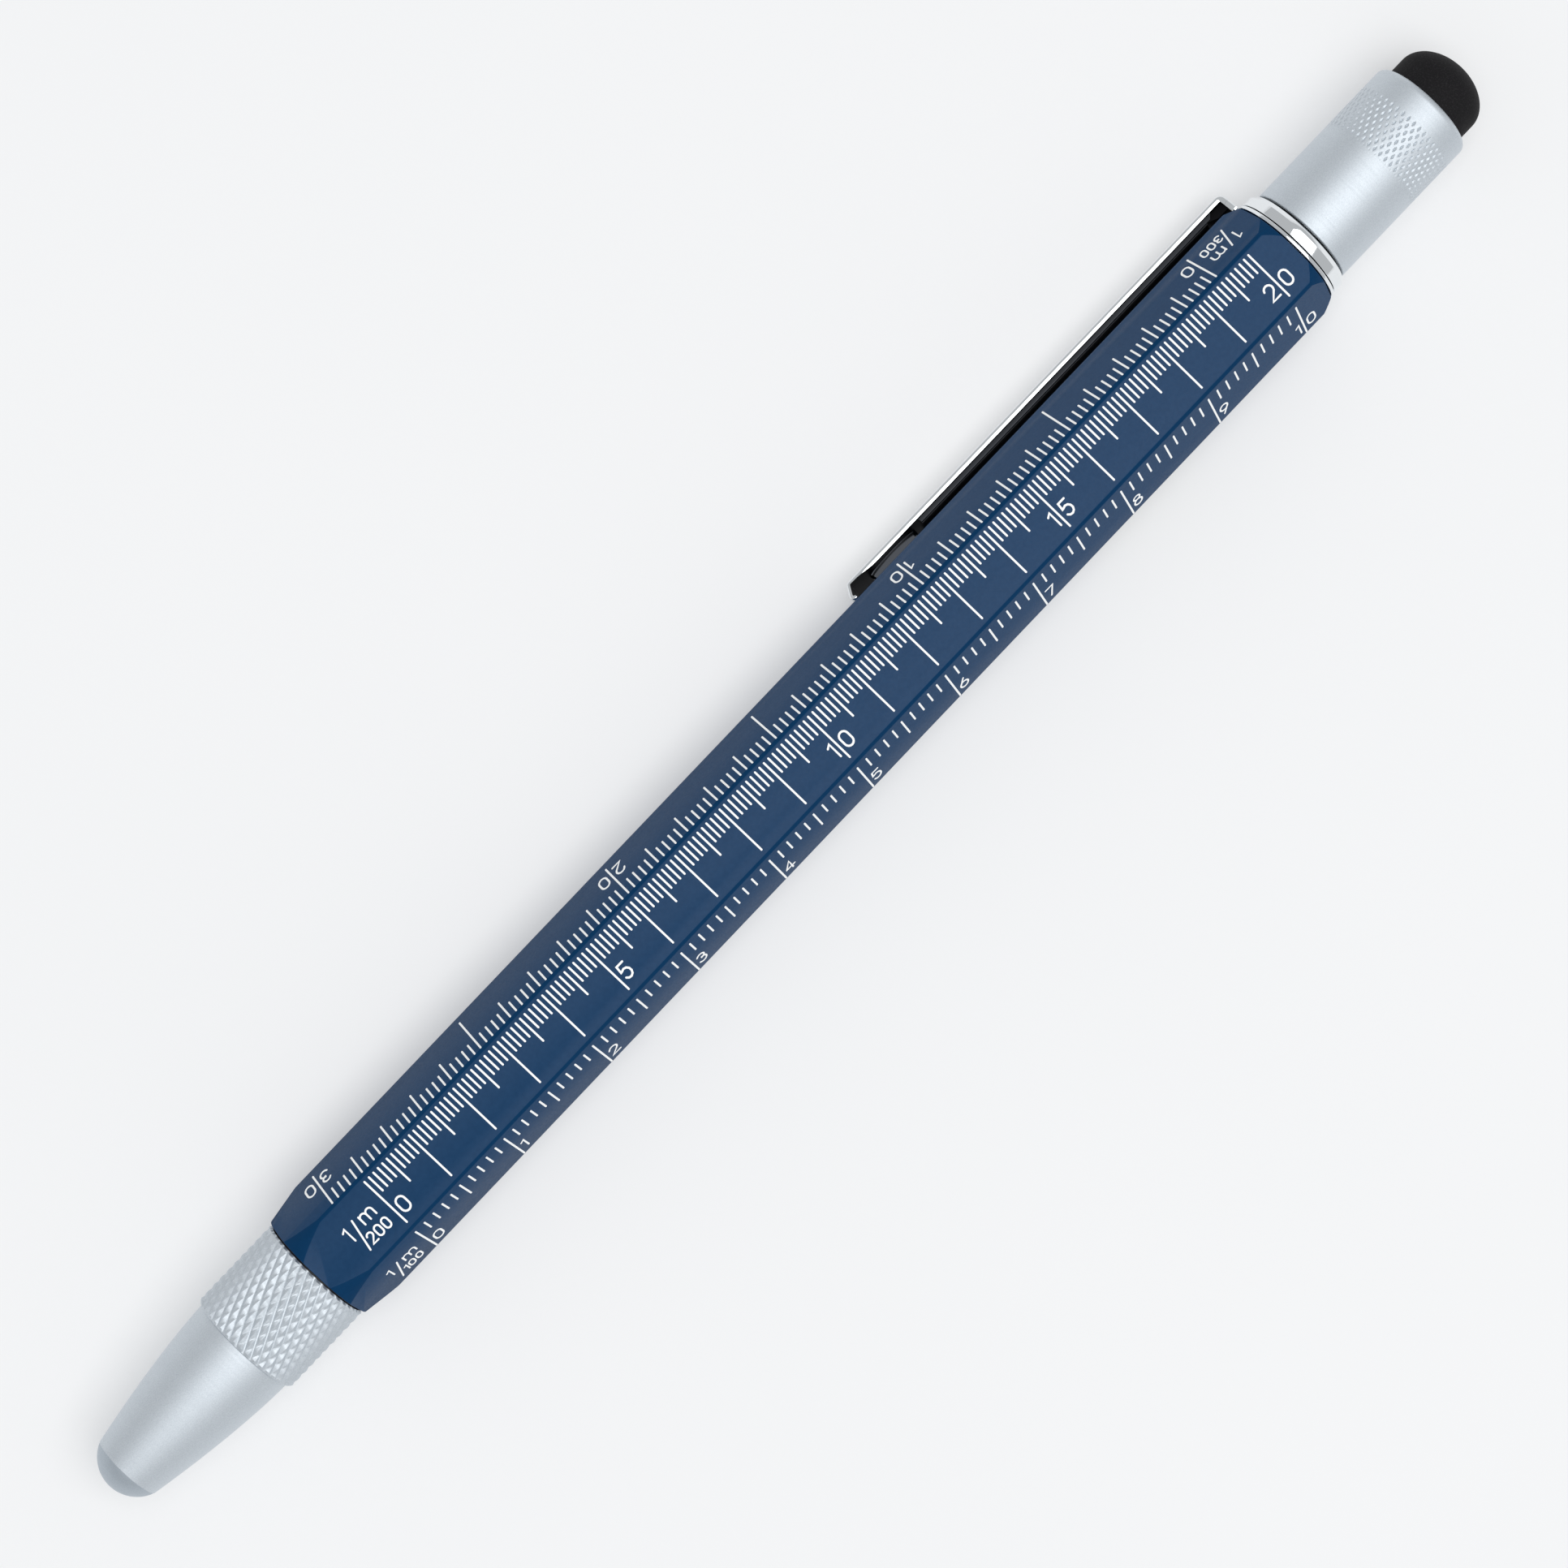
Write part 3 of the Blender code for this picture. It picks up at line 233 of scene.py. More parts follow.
@dataclass(frozen=True)
class AnodisedAluminium(Finish):
    """Turned, bead-blasted and clear-anodised aluminium: a silky grey with faint rings from the tool."""

    bead_mm: float = 0.09
    bead_depth_mm: float = 0.008
    ring_mm: float = 0.22
    dull_colour: str = "BCC3CA"

    def dress(self, tree: Tree, shader: Node, place: Socket) -> None:
        """Bead-blast grain in the relief and faint turning rings across the pen in the gloss.

        Args:
            tree: the material's node tree.
            shader: its Principled shader.
            place: the place on the object, in metres.
        """
        bead = add_node(tree, "TexNoise", {
            "Vector": place, "Scale": per_metre(self.bead_mm), "Detail": 3.0}).outputs["Fac"]
        along = add_node(tree, "Mapping", {"Vector": place, "Scale": (1.0, 0.02, 0.02)})
        rings = add_node(tree, "TexNoise", {
            "Vector": along.outputs["Vector"], "Scale": per_metre(self.ring_mm), "Detail": 2.0})
        gloss = add_node(tree, "MapRange", {
            "Value": rings.outputs["Fac"], "From Min": 0.3, "From Max": 0.7,
            "To Min": self.roughness - 0.02, "To Max": self.roughness + 0.03})
        mottle(shader, bead, (0.3, 0.7), 0.5, self.colour, self.dull_colour)
        relief = add_node(tree, "Bump", {
            "Height": bead, "Strength": 0.25, "Distance": self.bead_depth_mm * MM})
        wire(shader, {"Roughness": gloss.outputs["Result"], "Normal": relief.outputs["Normal"]})


@dataclass(frozen=True)
class PlatedMetal(Finish):
    """Plated or ground metal: a clean reflection, broken only by hairlines and finger haze."""

    haze_mm: float = 3.0
    haze: float = 0.06
    hairline_mm: float = 0.3
    hairline: float = 0.0

    def dress(self, tree: Tree, shader: Node, place: Socket) -> None:
        """Haze and hairlines in the gloss.

        Args:
            tree: the material's node tree.
            shader: its Principled shader.
            place: the place on the object, in metres.
        """
        haze = add_node(tree, "TexNoise", {
            "Vector": place, "Scale": per_metre(self.haze_mm), "Detail": 4.0})
        across = add_node(tree, "Mapping", {"Vector": place, "Scale": (1.0, 0.05, 0.05)})
        lines = add_node(tree, "TexNoise", {
            "Vector": across.outputs["Vector"], "Scale": per_metre(self.hairline_mm), "Detail": 3.0})
        base = add_node(tree, "MapRange", {
            "Value": haze.outputs["Fac"], "From Min": 0.45, "From Max": 0.75,
            "To Min": self.roughness, "To Max": self.roughness + self.haze})
        gloss = add_node(tree, "Math", {
            0: lines.outputs["Fac"], 1: self.hairline, 2: base.outputs["Result"]}, operation="MULTIPLY_ADD")
        wire(shader, {"Roughness": gloss.outputs["Value"]})


@dataclass(frozen=True)
class MouldedPlastic(Finish):
    """Moulded ABS, rubber or ink: a fine even grain left by the mould, with a little dust in it."""

    grain_mm: float = 0.12
    relief_mm: float = 0.012
    dust_colour: str = "3A393B"
    dust: float = 0.0

    def dress(self, tree: Tree, shader: Node, place: Socket) -> None:
        """Mould grain in the relief, dust in the colour.

        Args:
            tree: the material's node tree.
            shader: its Principled shader.
            place: the place on the object, in metres.
        """
        grain = add_node(tree, "TexNoise", {
            "Vector": place, "Scale": per_metre(self.grain_mm), "Detail": 4.0}).outputs["Fac"]
        relief = add_node(tree, "Bump", {"Height": grain, "Strength": 0.5, "Distance": self.relief_mm * MM})
        wire(shader, {"Normal": relief.outputs["Normal"]})
        mottle(shader, grain, (0.5, 0.8), self.dust, self.colour, self.dust_colour)


@dataclass(frozen=True)
class ClearSolid(Finish):
    """Moulded clear acrylic or a tinted liquid, with a glossy skin that ripples slightly."""

    ior: float = 1.49
    transmission: float = 1.0
    cover: float = 1.0
    ripple_mm: float = 4.0
    ripple_depth_mm: float = 0.01

    def dress(self, tree: Tree, shader: Node, place: Socket) -> None:
        """Light passing through, and the slight ripple of a moulded surface.

        Args:
            tree: the material's node tree.
            shader: its Principled shader.
            place: the place on the object, in metres.
        """
        ripple = add_node(tree, "TexNoise", {"Vector": place, "Scale": per_metre(self.ripple_mm)})
        relief = add_node(tree, "Bump", {
            "Height": ripple.outputs["Fac"], "Strength": 0.1, "Distance": self.ripple_depth_mm * MM})
        wire(shader, {"IOR": self.ior, "Transmission Weight": self.transmission, "Alpha": self.cover,
                      "Normal": relief.outputs["Normal"]})


@dataclass(frozen=True)
class LitAcrylic(Finish):
    """Frosted acrylic lit from below, with the faintest cloudiness."""

    glow: float = 0.34
    glow_colour: str = "FCFDFF"
    cloud_mm: float = 60.0
    cloud_colour: str = "C1C2C2"

    def dress(self, tree: Tree, shader: Node, place: Socket) -> None:
        """The light from below, and clouds in the colour.

        Args:
            tree: the material's node tree.
            shader: its Principled shader.
            place: the place on the object, in metres.
        """
        wire(shader, {"Emission Color": srgb(self.glow_colour), "Emission Strength": self.glow})
        cloud = add_node(tree, "TexNoise", {
            "Vector": place, "Scale": per_metre(self.cloud_mm), "Detail": 2.0}).outputs["Fac"]
        mottle(shader, cloud, (0.3, 0.7), 0.3, self.colour, self.cloud_colour)


# Baked satin lacquer: the eye sees a deep navy under a grey sheen that follows the light
LACQUER = SatinLacquer("navy_satin_lacquer", "navy_lacquer", "143C61", 0.42, specular=0.175)
# The same lacquer, darker and with less reflection: painted shade on the rounded edges between two flats and
# on the corner facets at the ends, which read as dark lines
LACQUER_PAINTED_SHADE = SatinLacquer(
    "navy_lacquer_painted_edge_shade", "navy_lacquer", "08355A", 0.5, specular=0.05, deep_colour="073153")
# Screen-printed epoxy ink: an even, faintly raised off-white
INK = MouldedPlastic(
    "white_screen_ink", "navy_lacquer", "FCFDFC", 0.55, specular=0.3, relief_mm=0.003,
    dust_colour="E6EAED", dust=0.12)
# Clear-anodised aluminium, blasted after turning: silky, with long soft highlights
ALUMINIUM = AnodisedAluminium("satin_anodised_aluminium", "satin_aluminium", "D9DFE4", 0.6, 1.0)
# The same metal faced off at the tip: a touch darker and duller
FACED_ALUMINIUM = AnodisedAluminium(
    "faced_anodised_aluminium", "satin_aluminium", "C3CBD2", 0.55, 1.0, dull_colour="AAB4BD")
# Bright chrome plate over polished brass: mirror-like
CHROME = PlatedMetal("bright_chrome_plate", "chrome", "ECEFF1", 0.05, 1.0, haze=0.05)
# Chrome of the clip's side walls, in a dark grey that is painted shade for the dark reflection under the
# strip; its higher roughness makes it dull
CHROME_PAINTED_SHADE = PlatedMetal("clip_wall_painted_shade", "chrome", "4A4C50", 0.38, 1.0, haze=0.08)
# Near-black metal on the strip's lower face and in the corner of the bend: painted shade for the dark barrel
# and shadow that the chrome there reflects
CLIP_PAINTED_SHADE = PlatedMetal("clip_underside_painted_shade", "chrome", "19191B", 0.45, 1.0, haze=0.08)
# The clip's bump: chrome darkened to a grey that paints in the dark barrel it reflects; its sharp glints come
# from the lamps
CLIP_BUMP_PAINTED_REFLECTION = PlatedMetal("clip_bump_painted_reflection", "chrome", "6C6F75", 0.1, 1.0, haze=0.05)
# Polished stainless steel of the nib and the ink supply's fittings: bright, with faint hairlines
NIB_STEEL = PlatedMetal("polished_stainless_steel", "steel", "CFD0D0", 0.14, 1.0, haze=0.06, hairline=0.10)
# Hardened tool steel, ground and phosphated: darker, with grinding lines
TOOL_STEEL = PlatedMetal("ground_tool_steel", "steel", "8E9092", 0.28, 1.0, haze=0.10, hairline=0.22)
# Free-cutting brass as it comes off the lathe: warm, with fine lines from the tool
BRASS = PlatedMetal("turned_brass", "brass", "D2AC66", 0.26, 1.0, haze=0.08, hairline=0.18)
# Natural rubber loaded with carbon: matte, holds a little dust
RUBBER = MouldedPlastic(
    "moulded_black_rubber", "rubber", "121113", 0.78, specular=0.2, grain_mm=0.11, relief_mm=0.02, dust=0.45)
# Moulded ABS of the inner pieces: black, with a soft gloss
ABS = MouldedPlastic(
    "moulded_black_abs", "black_plastic", "17171A", 0.40, grain_mm=0.2, relief_mm=0.004,
    dust_colour="26262A", dust=0.3)
# Clear acrylic of the ink supply and of the level's window: it bends what is seen through it
ACRYLIC = ClearSolid("clear_moulded_acrylic", "clear_acrylic", "F4F8F8", 0.04)
# Thin clear acrylic of the vial: only its gloss and a trace of grey show
THIN_ACRYLIC = ClearSolid(
    "thin_clear_acrylic", "clear_acrylic", "E8EEEE", 0.03, transmission=0.0, cover=0.035)
# Tinted spirit of the level: a bright yellow-green, too deep in colour to see through
SPIRIT = ClearSolid("tinted_level_spirit", "level_fluid", "B6DC22", 0.06, ior=1.36, transmission=0.0)
# A painted highlight on the spirit's skin round its bubble, where it would catch the light: the same green,
# much paler
SPIRIT_PAINTED_HIGHLIGHT = ClearSolid("level_spirit_painted_highlight", "level_fluid", "E9F7A0", 0.04, ior=1.36, transmission=0.0)
# Frosted white acrylic of the sheet, lit from below: an even pale grey that keeps the shadows faint
SHEET = LitAcrylic("lit_white_acrylic", "", "C5C5C5", 0.85, specular=0.2)


def span(node: str) -> Point:
    """First and last station of a CAD node along the pen, in millimetres."""
    low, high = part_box(node)
    return low.x / MM, high.x / MM


def arc(centre: Point, radii: Point, start_deg: float, end_deg: float, steps: int = 8) -> list[Point]:
    """Points on an elliptic arc.

    Args:
        centre: its middle.
        radii: its two half sizes.
        start_deg: first angle, from the first axis towards the second.
        end_deg: last angle.
        steps: how many chords it gets.

    Returns:
        The points, both ends included.
    """
    points = []
    for step in range(steps + 1):
        angle = math.radians(start_deg + (end_deg - start_deg) * step / steps)
        points.append((centre[0] + radii[0] * math.cos(angle), centre[1] + radii[1] * math.sin(angle)))
    return points


def stepped(start: float, end: float, radius: float | Callable[[float], float], pitch: float) -> list[Point]:
    """Outline points at an even pitch along a run.

    Args:
        start: first station.
        end: last station.
        radius: the radius, or what gives it at a station.
        pitch: about how far apart they are.

    Returns:
        The points, both ends included.
    """
    count = max(1, round(abs(end - start) / pitch))
    stations = [start + (end - start) * step / count for step in range(count + 1)]
    return [(station, radius(station) if callable(radius) else radius) for station in stations]


def eased(corners: Sequence[Corner], steps: int = 4) -> list[Point]:
    """Rounds the corners of an outline.

    Args:
        corners: the points, each with the radius that its corner is broken to.
        steps: how many chords each round corner gets.

    Returns:
        The outline's points.
    """
    points: list[Point] = []
    for index, (station, height, radius) in enumerate(corners):
        if radius <= 0 or index in (0, len(corners) - 1):
            points.append((station, height))
            continue
        here = Vector((station, height))
        before = Vector(corners[index - 1][:2]) - here
        after = Vector(corners[index + 1][:2]) - here
        reach = min(radius / math.tan(before.angle(after) / 2), before.length * 0.49, after.length * 0.49)
        first = here + before.normalized() * reach
        last = here + after.normalized() * reach
        for step in range(steps + 1):
            share = step / steps
            spot = first.lerp(here, share).lerp(here.lerp(last, share), share)
            points.append((spot.x, spot.y))
    return points


def band(front: float, rear: float, inner: float, outer: float, ease: float) -> list[Point]:
    """Outline of a plain ring or plug.

    Args:
        front: its first station.
        rear: its last station.
        inner: its inner radius, 0 for a plug.
        outer: its outer radius.
        ease: radius of its outer edges.

    Returns:
        The outline's points.
    """
    return eased([(front, inner, 0), (front, outer, ease), (rear, outer, ease), (rear, inner, 0)])


def face_frame(face_deg: float) -> Matrix:
    """A frame on the pen's axis, in millimetres, whose +Z looks out through the flat at this angle."""
    place = Matrix.Translation((0, 0, AXIS_HEIGHT * MM)) @ Matrix.Rotation(-math.radians(face_deg), 4, "X")
    return place @ Matrix.Scale(MM, 4)


def smoothed(mesh: bpy.types.Mesh, crease_deg: float) -> None:
    """Shades a mesh smooth, apart from edges that are sharper than the crease."""
    mesh.shade_smooth()
    mesh.set_sharp_from_angle(angle=math.radians(crease_deg))


def settle(name: str, shape: Shape, place: Matrix, crease_deg: float = TOOL_CREASE_DEG) -> Piece:
    """Turns a bmesh into an object whose mesh is already in the pen's frame.

    Args:
        name: the piece's name.
        shape: the mesh, in millimetres, which is freed here.
        place: where it goes.
        crease_deg: edges sharper than this stay crisp.

    Returns:
        The linked object.
    """
    bmesh.ops.transform(shape, matrix=place, verts=shape.verts)
    bmesh.ops.recalc_face_normals(shape, faces=shape.faces)
    mesh = bpy.data.meshes.new(name)
    shape.to_mesh(mesh)
    shape.free()
    smoothed(mesh, crease_deg)
    made = bpy.data.objects.new(name, mesh)
    bpy.context.scene.collection.objects.link(made)
    return made


def skin(shape: Shape, rows: Sequence[list], around: bool = False) -> list[bmesh.types.BMFace]:
    """Spans faces between rows of equally many points.

    Args:
        shape: the mesh.
        rows: its points, row by row.
        around: whether the last row joins the first.

    Returns:
        The faces, in the order of the rows.
    """
    faces = []
    for near, far in zip(rows, rows[1:] + rows[:1] if around else rows[1:]):
        for index in range(len(near) - 1):
            faces.append(shape.faces.new((near[index], near[index + 1], far[index + 1], far[index])))
    return faces


def ellipsoid(halves: Sequence[float], middle: Sequence[float], around: int, along: int) -> Shape:
    """A smooth egg as a mesh.

    Args:
        halves: its half sizes.
        middle: its middle.
        around: facets around it.
        along: facets from pole to pole.

    Returns:
        The mesh, in the units of its sizes.
    """
    shape = bmesh.new()
    bmesh.ops.create_uvsphere(shape, u_segments=around, v_segments=along, radius=1)
    bmesh.ops.scale(shape, vec=Vector(halves), verts=shape.verts)
    bmesh.ops.translate(shape, vec=Vector(middle), verts=shape.verts)
    return shape


def block(name: str, size: Sequence[float], middle: Sequence[float], face_deg: float) -> Piece:
    """A box that is used as a cutter or a blank, in a flat's frame.

    Args:
        name: its name.
        size: its size along the pen, across the flat and outwards.
        middle: its middle in the same directions.
        face_deg: the flat.

    Returns:
        The box.
    """
    shape = bmesh.new()
    bmesh.ops.create_cube(shape, size=1)
    bmesh.ops.scale(shape, vec=Vector(size), verts=shape.verts)
    bmesh.ops.translate(shape, vec=Vector(middle), verts=shape.verts)
    return settle(name, shape, face_frame(face_deg))


def turned(
    name: str,
    outline: Sequence[Point],
    sides: int = 72,
    relief: Relief | None = None,
    rough: slice = slice(None),
    rising: Callable[[float, float], bool] | None = None,
    crease_deg: float = 32.0,
    crisp: Sequence[float] = (),
) -> Piece:
    """Turns an outline around the pen's axis, with an optional relief such as a knurl or thread.

    Args:
        name: the piece's name.
        outline: its (station, radius) points. It closes on itself unless it starts on the axis.
        sides: facets around it.
        relief: extra radius at a station and an angle.
        rough: the outline's points that have the relief.
        rising: which way the quad at a station and an angle is split, where it is.
        crease_deg: edges sharper than this stay crisp.
        crisp: stations whose rings stay crisp at any angle.

    Returns:
        The piece, in the pen's frame.
    """
    shape = bmesh.new()
    rings: list[list[bmesh.types.BMVert]] = []
    uneven = range(len(outline))[rough] if relief else range(0)
    for index, (station, radius) in enumerate(outline):
        if radius <= 0:
            rings.append([shape.verts.new((station, 0, 0))])
            continue
        line = []
        for side in range(sides):
            angle = math.tau * side / sides
            reach = radius + (relief(station, angle) if index in uneven else 0)
            line.append(shape.verts.new((station, reach * math.sin(angle), reach * math.cos(angle))))
        rings.append(line)
    pairs = list(zip(rings, rings[1:], outline, outline[1:]))
    if outline[0][1] > 0:
        pairs.append((rings[-1], rings[0], outline[-1], outline[0]))
    for near, far, near_point, far_point in pairs:
        if len(near) == len(far) == 1:
            continue
        for side in range(sides):
            after = (side + 1) % sides
            if len(near) == 1:
                shape.faces.new((near[0], far[after], far[side]))
            elif len(far) == 1:
                shape.faces.new((near[side], near[after], far[0]))
            elif rising is None:
                shape.faces.new((near[side], near[after], far[after], far[side]))
            elif rising((near_point[0] + far_point[0]) / 2, math.tau * (side + 0.5) / sides):
                shape.faces.new((near[side], near[after], far[after]))
                shape.faces.new((near[side], far[after], far[side]))
            else:
                shape.faces.new((near[side], near[after], far[side]))
                shape.faces.new((near[after], far[after], far[side]))
    piece = settle(name, shape, face_frame(0), crease_deg)
    for edge in piece.data.edges if crisp else ():
        ends = [piece.data.vertices[index].co.x / MM for index in edge.vertices]
        if any(max(abs(end - station) for end in ends) < SAME_STATION for station in crisp):
            edge.use_edge_sharp = True
    return piece


def change(piece: Piece, kind: str, crease_deg: float = TOOL_CREASE_DEG, **settings) -> Piece:
    """Changes a piece's mesh with one modifier.

    Args:
        piece: the piece, which keeps its name.
        kind: Blender's name for the modifier.
        crease_deg: edges sharper than this stay crisp.
        settings: the modifier's own properties.

    Returns:
        The same piece.
    """
    modifier = piece.modifiers.new(kind.lower(), kind)
    for name, value in settings.items():
        setattr(modifier, name, value)
    bpy.context.view_layer.update()
    evaluated = piece.evaluated_get(bpy.context.evaluated_depsgraph_get())
    mesh = bpy.data.meshes.new_from_object(evaluated)
    piece.modifiers.clear()
    piece.data = mesh
    mesh.name = piece.name
    smoothed(mesh, crease_deg)
    return piece


def carve(piece: Piece, tool: Piece, operation: str = "DIFFERENCE") -> None:
    """Cuts a tool out of a piece, joins it or keeps what they share, and clears the tool away.

    Args:
        piece: what is changed.
        tool: what changes it.
        operation: Blender's name for the boolean.
    """
    change(piece, "BOOLEAN", operation=operation, object=tool, solver="EXACT")
    bpy.data.objects.remove(tool, do_unlink=True)


def refinish(piece: Piece, *finishes: Finish) -> None:
    """Gives a piece new materials and leaves its mesh as it is.

    Args:
        piece: the piece.
        finishes: its materials, in slot order.
    """
    if piece.data.materials:
        piece.data.materials.clear()
    for finish in finishes:
        piece.data.materials.append(finish.make())


def dress(piece: Piece, body: str, *finishes: Finish, instead_of: str = "") -> None:
    """Gives a piece its finishes and its place in the model.

    Args:
        piece: the piece.
        body: the CAD body that it rides on.
        finishes: its materials, in slot order.
        instead_of: the CAD node that it stands for, if any.
    """
    refinish(piece, *finishes)
    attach(piece, body)
    if instead_of:
        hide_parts(instead_of)
    log.info("%s rides on %s", piece.name, body)


@dataclass
class Knurl:
    """A diamond knurl rolled into a band: two families of helical grooves that leave pyramids.

    Attributes:
        around: pyramids around the band.
        pitch: distance between them along the pen.
        depth: depth of the grooves.
        land: share of a pyramid's height that the roller leaves flat on top.
        lead_bias: how much shallower the first family is cut.
        fine: facets along one pyramid.
    """

    around: int
    pitch: float
    depth: float
    land: float
    lead_bias: float
    fine: int = 8

    def grooves(self, station: float, angle: float) -> tuple[float, float]:
        """Height between the grooves of each family.

        Args:
            station: where it is along the pen.
            angle: where it is around the pen.

        Returns:
            The height for each family, from 0 in a groove to 1 halfway to the next.
        """
        along = station / self.pitch
        around = angle * self.around / math.tau
        rising = abs((along + around + 0.5) % 1 - 0.5) * 2
        falling = abs((along - around + 0.5) % 1 - 0.5) * 2
        return rising + self.lead_bias * (1 - rising), falling

    def height(self, station: float, angle: float) -> float:
        """Radius that is missing at a station and an angle, below zero."""
        top = min(min(self.grooves(station, angle)) / (1 - self.land), 1)
        return (top - 1) * self.depth

    def rises(self, station: float, angle: float) -> bool:
        """Whether the quad there is split along the second family's grooves."""
        rising, falling = self.grooves(station, angle)
        return falling < rising


@dataclass
class Dents:
    """Rows of small diamond dents rolled into a smooth band, each row set between the last.

    Attributes:
        around: dents around each row.
        pitch: distance between rows that line up, which have one row between them.
        depth: depth of a dent.
        half_length: half of its size along the pen.
        half_width: half of its size around the pen.
        radius: radius of the band.
        first: station that the rows are counted from.
        last: where the band ends.
        margin: length that stays smooth at each end.
        steepness: how fast a dent's walls fall to its flat floor.
    """

    around: int
    pitch: float
    depth: float
    half_length: float
    half_width: float
    radius: float
    first: float
    last: float
    margin: float = 0.12
    steepness: float = 1.6

    def height(self, station: float, angle: float) -> float:
        """Depth of the dents at one place.

        Args:
            station: where it is along the pen.
            angle: where it is around the pen.

        Returns:
            The missing radius, zero or less.
        """
        if not self.first + self.margin < station < self.last - self.margin:
            return 0.0
        deepest = 0.0
        for shift in (0.0, 0.5):
            along = (((station - self.first) / self.pitch + shift + 0.5) % 1 - 0.5) * self.pitch
            turn = (angle * self.around / math.tau + shift + 0.5) % 1 - 0.5
            around = turn * math.tau * self.radius / self.around
            share = 1 - abs(along) / self.half_length - abs(around) / self.half_width
            deepest = max(deepest, min(1.0, self.steepness * share))
        return -deepest * self.depth


@dataclass
class Thread:
    """A screw thread as helical ridges.

    Attributes:
        pitch: distance from one ridge to the next.
        depth: height of the ridge.
        start: first station of the full thread.
        end: last station.
        runout: length over which it fades at both ends.
        starts: how many ridges run side by side; one turn rises by this many pitches.
        crest: how wide the ridge's flat top is cut, 1 for none.
    """

    pitch: float
    depth: float
    start: float
    end: float
    runout: float = 0.4
    starts: int = 1
    crest: float = 1.5

    def height(self, station: float, angle: float) -> float:
        """Depth of the thread at one place.

        Args:
            station: where it is along the pen.
            angle: where it is around the pen.

        Returns:
            The missing radius, zero or less.
        """
        inside = min(station - self.start, self.end - station)
        strength = max(0.0, min(1.0, inside / self.runout))
        wave = abs((station / self.pitch + self.starts * angle / math.tau) % 1 - 0.5) * 2
        return -self.depth * strength * min(1.0, self.crest * wave)


@dataclass
class Ribs:
    """Round grooves along a grip.

    Attributes:
        around: how many there are.
        depth: depth of a groove.
        start: first station of the grooves.
        end: last station.
    """

    around: int
    depth: float
    start: float
    end: float

    def height(self, station: float, angle: float) -> float:
        """Depth of the ribs' grooves at one place.

        Args:
            station: where it is along the pen.
            angle: where it is around the pen.

        Returns:
            The missing radius, zero or less.
        """
        if not self.start <= station <= self.end:
            return 0.0
        return -self.depth * (0.5 + 0.5 * math.cos(angle * self.around)) ** 2


@dataclass
class Lettering:
    """Monoline numerals as a draughtsman's stencil draws them, in a box one unit high.

    Attributes:
        width: width of a numeral for a height of one.
        stroke: width of the pen stroke, in millimetres.
        gap: space between the middles of the strokes of two numerals, for a height of one.
        bowl: half height of a lower bowl, and one_advance: room that a 1 takes, for a height of one.
    """

    width: float = 0.6
    stroke: float = 0.172
    gap: float = 0.21
    bowl: float = 0.29
    one_advance: float = 0.6

    def glyph(self, sign: str) -> list[list[Point]]:
        """Strokes of one sign.

        Args:
            sign: a digit or m.

        Returns:
            Polylines in its box, with the origin at its lower left.
        """
        wide, bowl = self.width, self.bowl
        half = wide / 2
        strokes: dict[str, list[list[Point]]] = {
            "0": [arc((half, 1 - half), (half, half), 0, 180) + arc((half, half), (half, half), 180, 360)
                  + [(wide, 1 - half)]],
            "1": [[(half - 0.2, 0.84), (half + 0.05, 1), (half + 0.05, 0)]],
            "2": [arc((half, 1 - half), (half, half), 165, -38) + [(0, 0), (wide + 0.02, 0)]],
            "3": [arc((half, 1 - bowl + 0.04), (half - 0.02, bowl - 0.04), 155, -90),
                  arc((half, bowl), (half, bowl), 90, -155)],
            "4": [[(half + 0.14, 0), (half + 0.14, 1), (-0.02, 0.25)], [(-0.02, 0.25), (wide + 0.06, 0.25)]],
            "5": [[(wide - 0.03, 1), (0.08, 1), (0.03, 0.57)] + arc((half, 0.32), (half, 0.32), 125, -150)],
            "6": [arc((half, half), (half, half), 150, -210, 16), [(0.06, half + 0.14), (half + 0.12, 1)]],
            "7": [[(0, 1), (wide, 1), (half - 0.08, 0)]],
            "8": [arc((half, bowl), (half, bowl), 90, 450, 14),
                  arc((half, 1 - 0.21), (half - 0.05, 0.21), -90, 270, 14)],
            "9": [arc((half, 1 - half), (half, half), -30, 330, 16),
                  [(half - 0.12, 0), (wide - 0.06, 0.86 - half)]],
            "m": [[(0, 0), (0, 0.7)], arc((0.27, 0.43), (0.27, 0.27), 180, 0) + [(0.54, 0)],
                  arc((0.81, 0.43), (0.27, 0.27), 180, 0) + [(1.08, 0)]],
        }
        return strokes[sign]

    def written(self, text: str, left: float, base: float, height: float) -> list[list[Point]]:
        """Strokes of a word.

        Args:
            text: its signs.
            left: where it starts.
            base: the line that it stands on.
            height: height of its digits.

        Returns:
            Polylines in millimetres.
        """
        lines = []
        for sign in text:
            for stroke in self.glyph(sign):
                lines.append([(left + x * height, base + y * height) for x, y in stroke])
            left += (self.one_advance if sign == "1" else self.width + self.gap) * height
        return lines


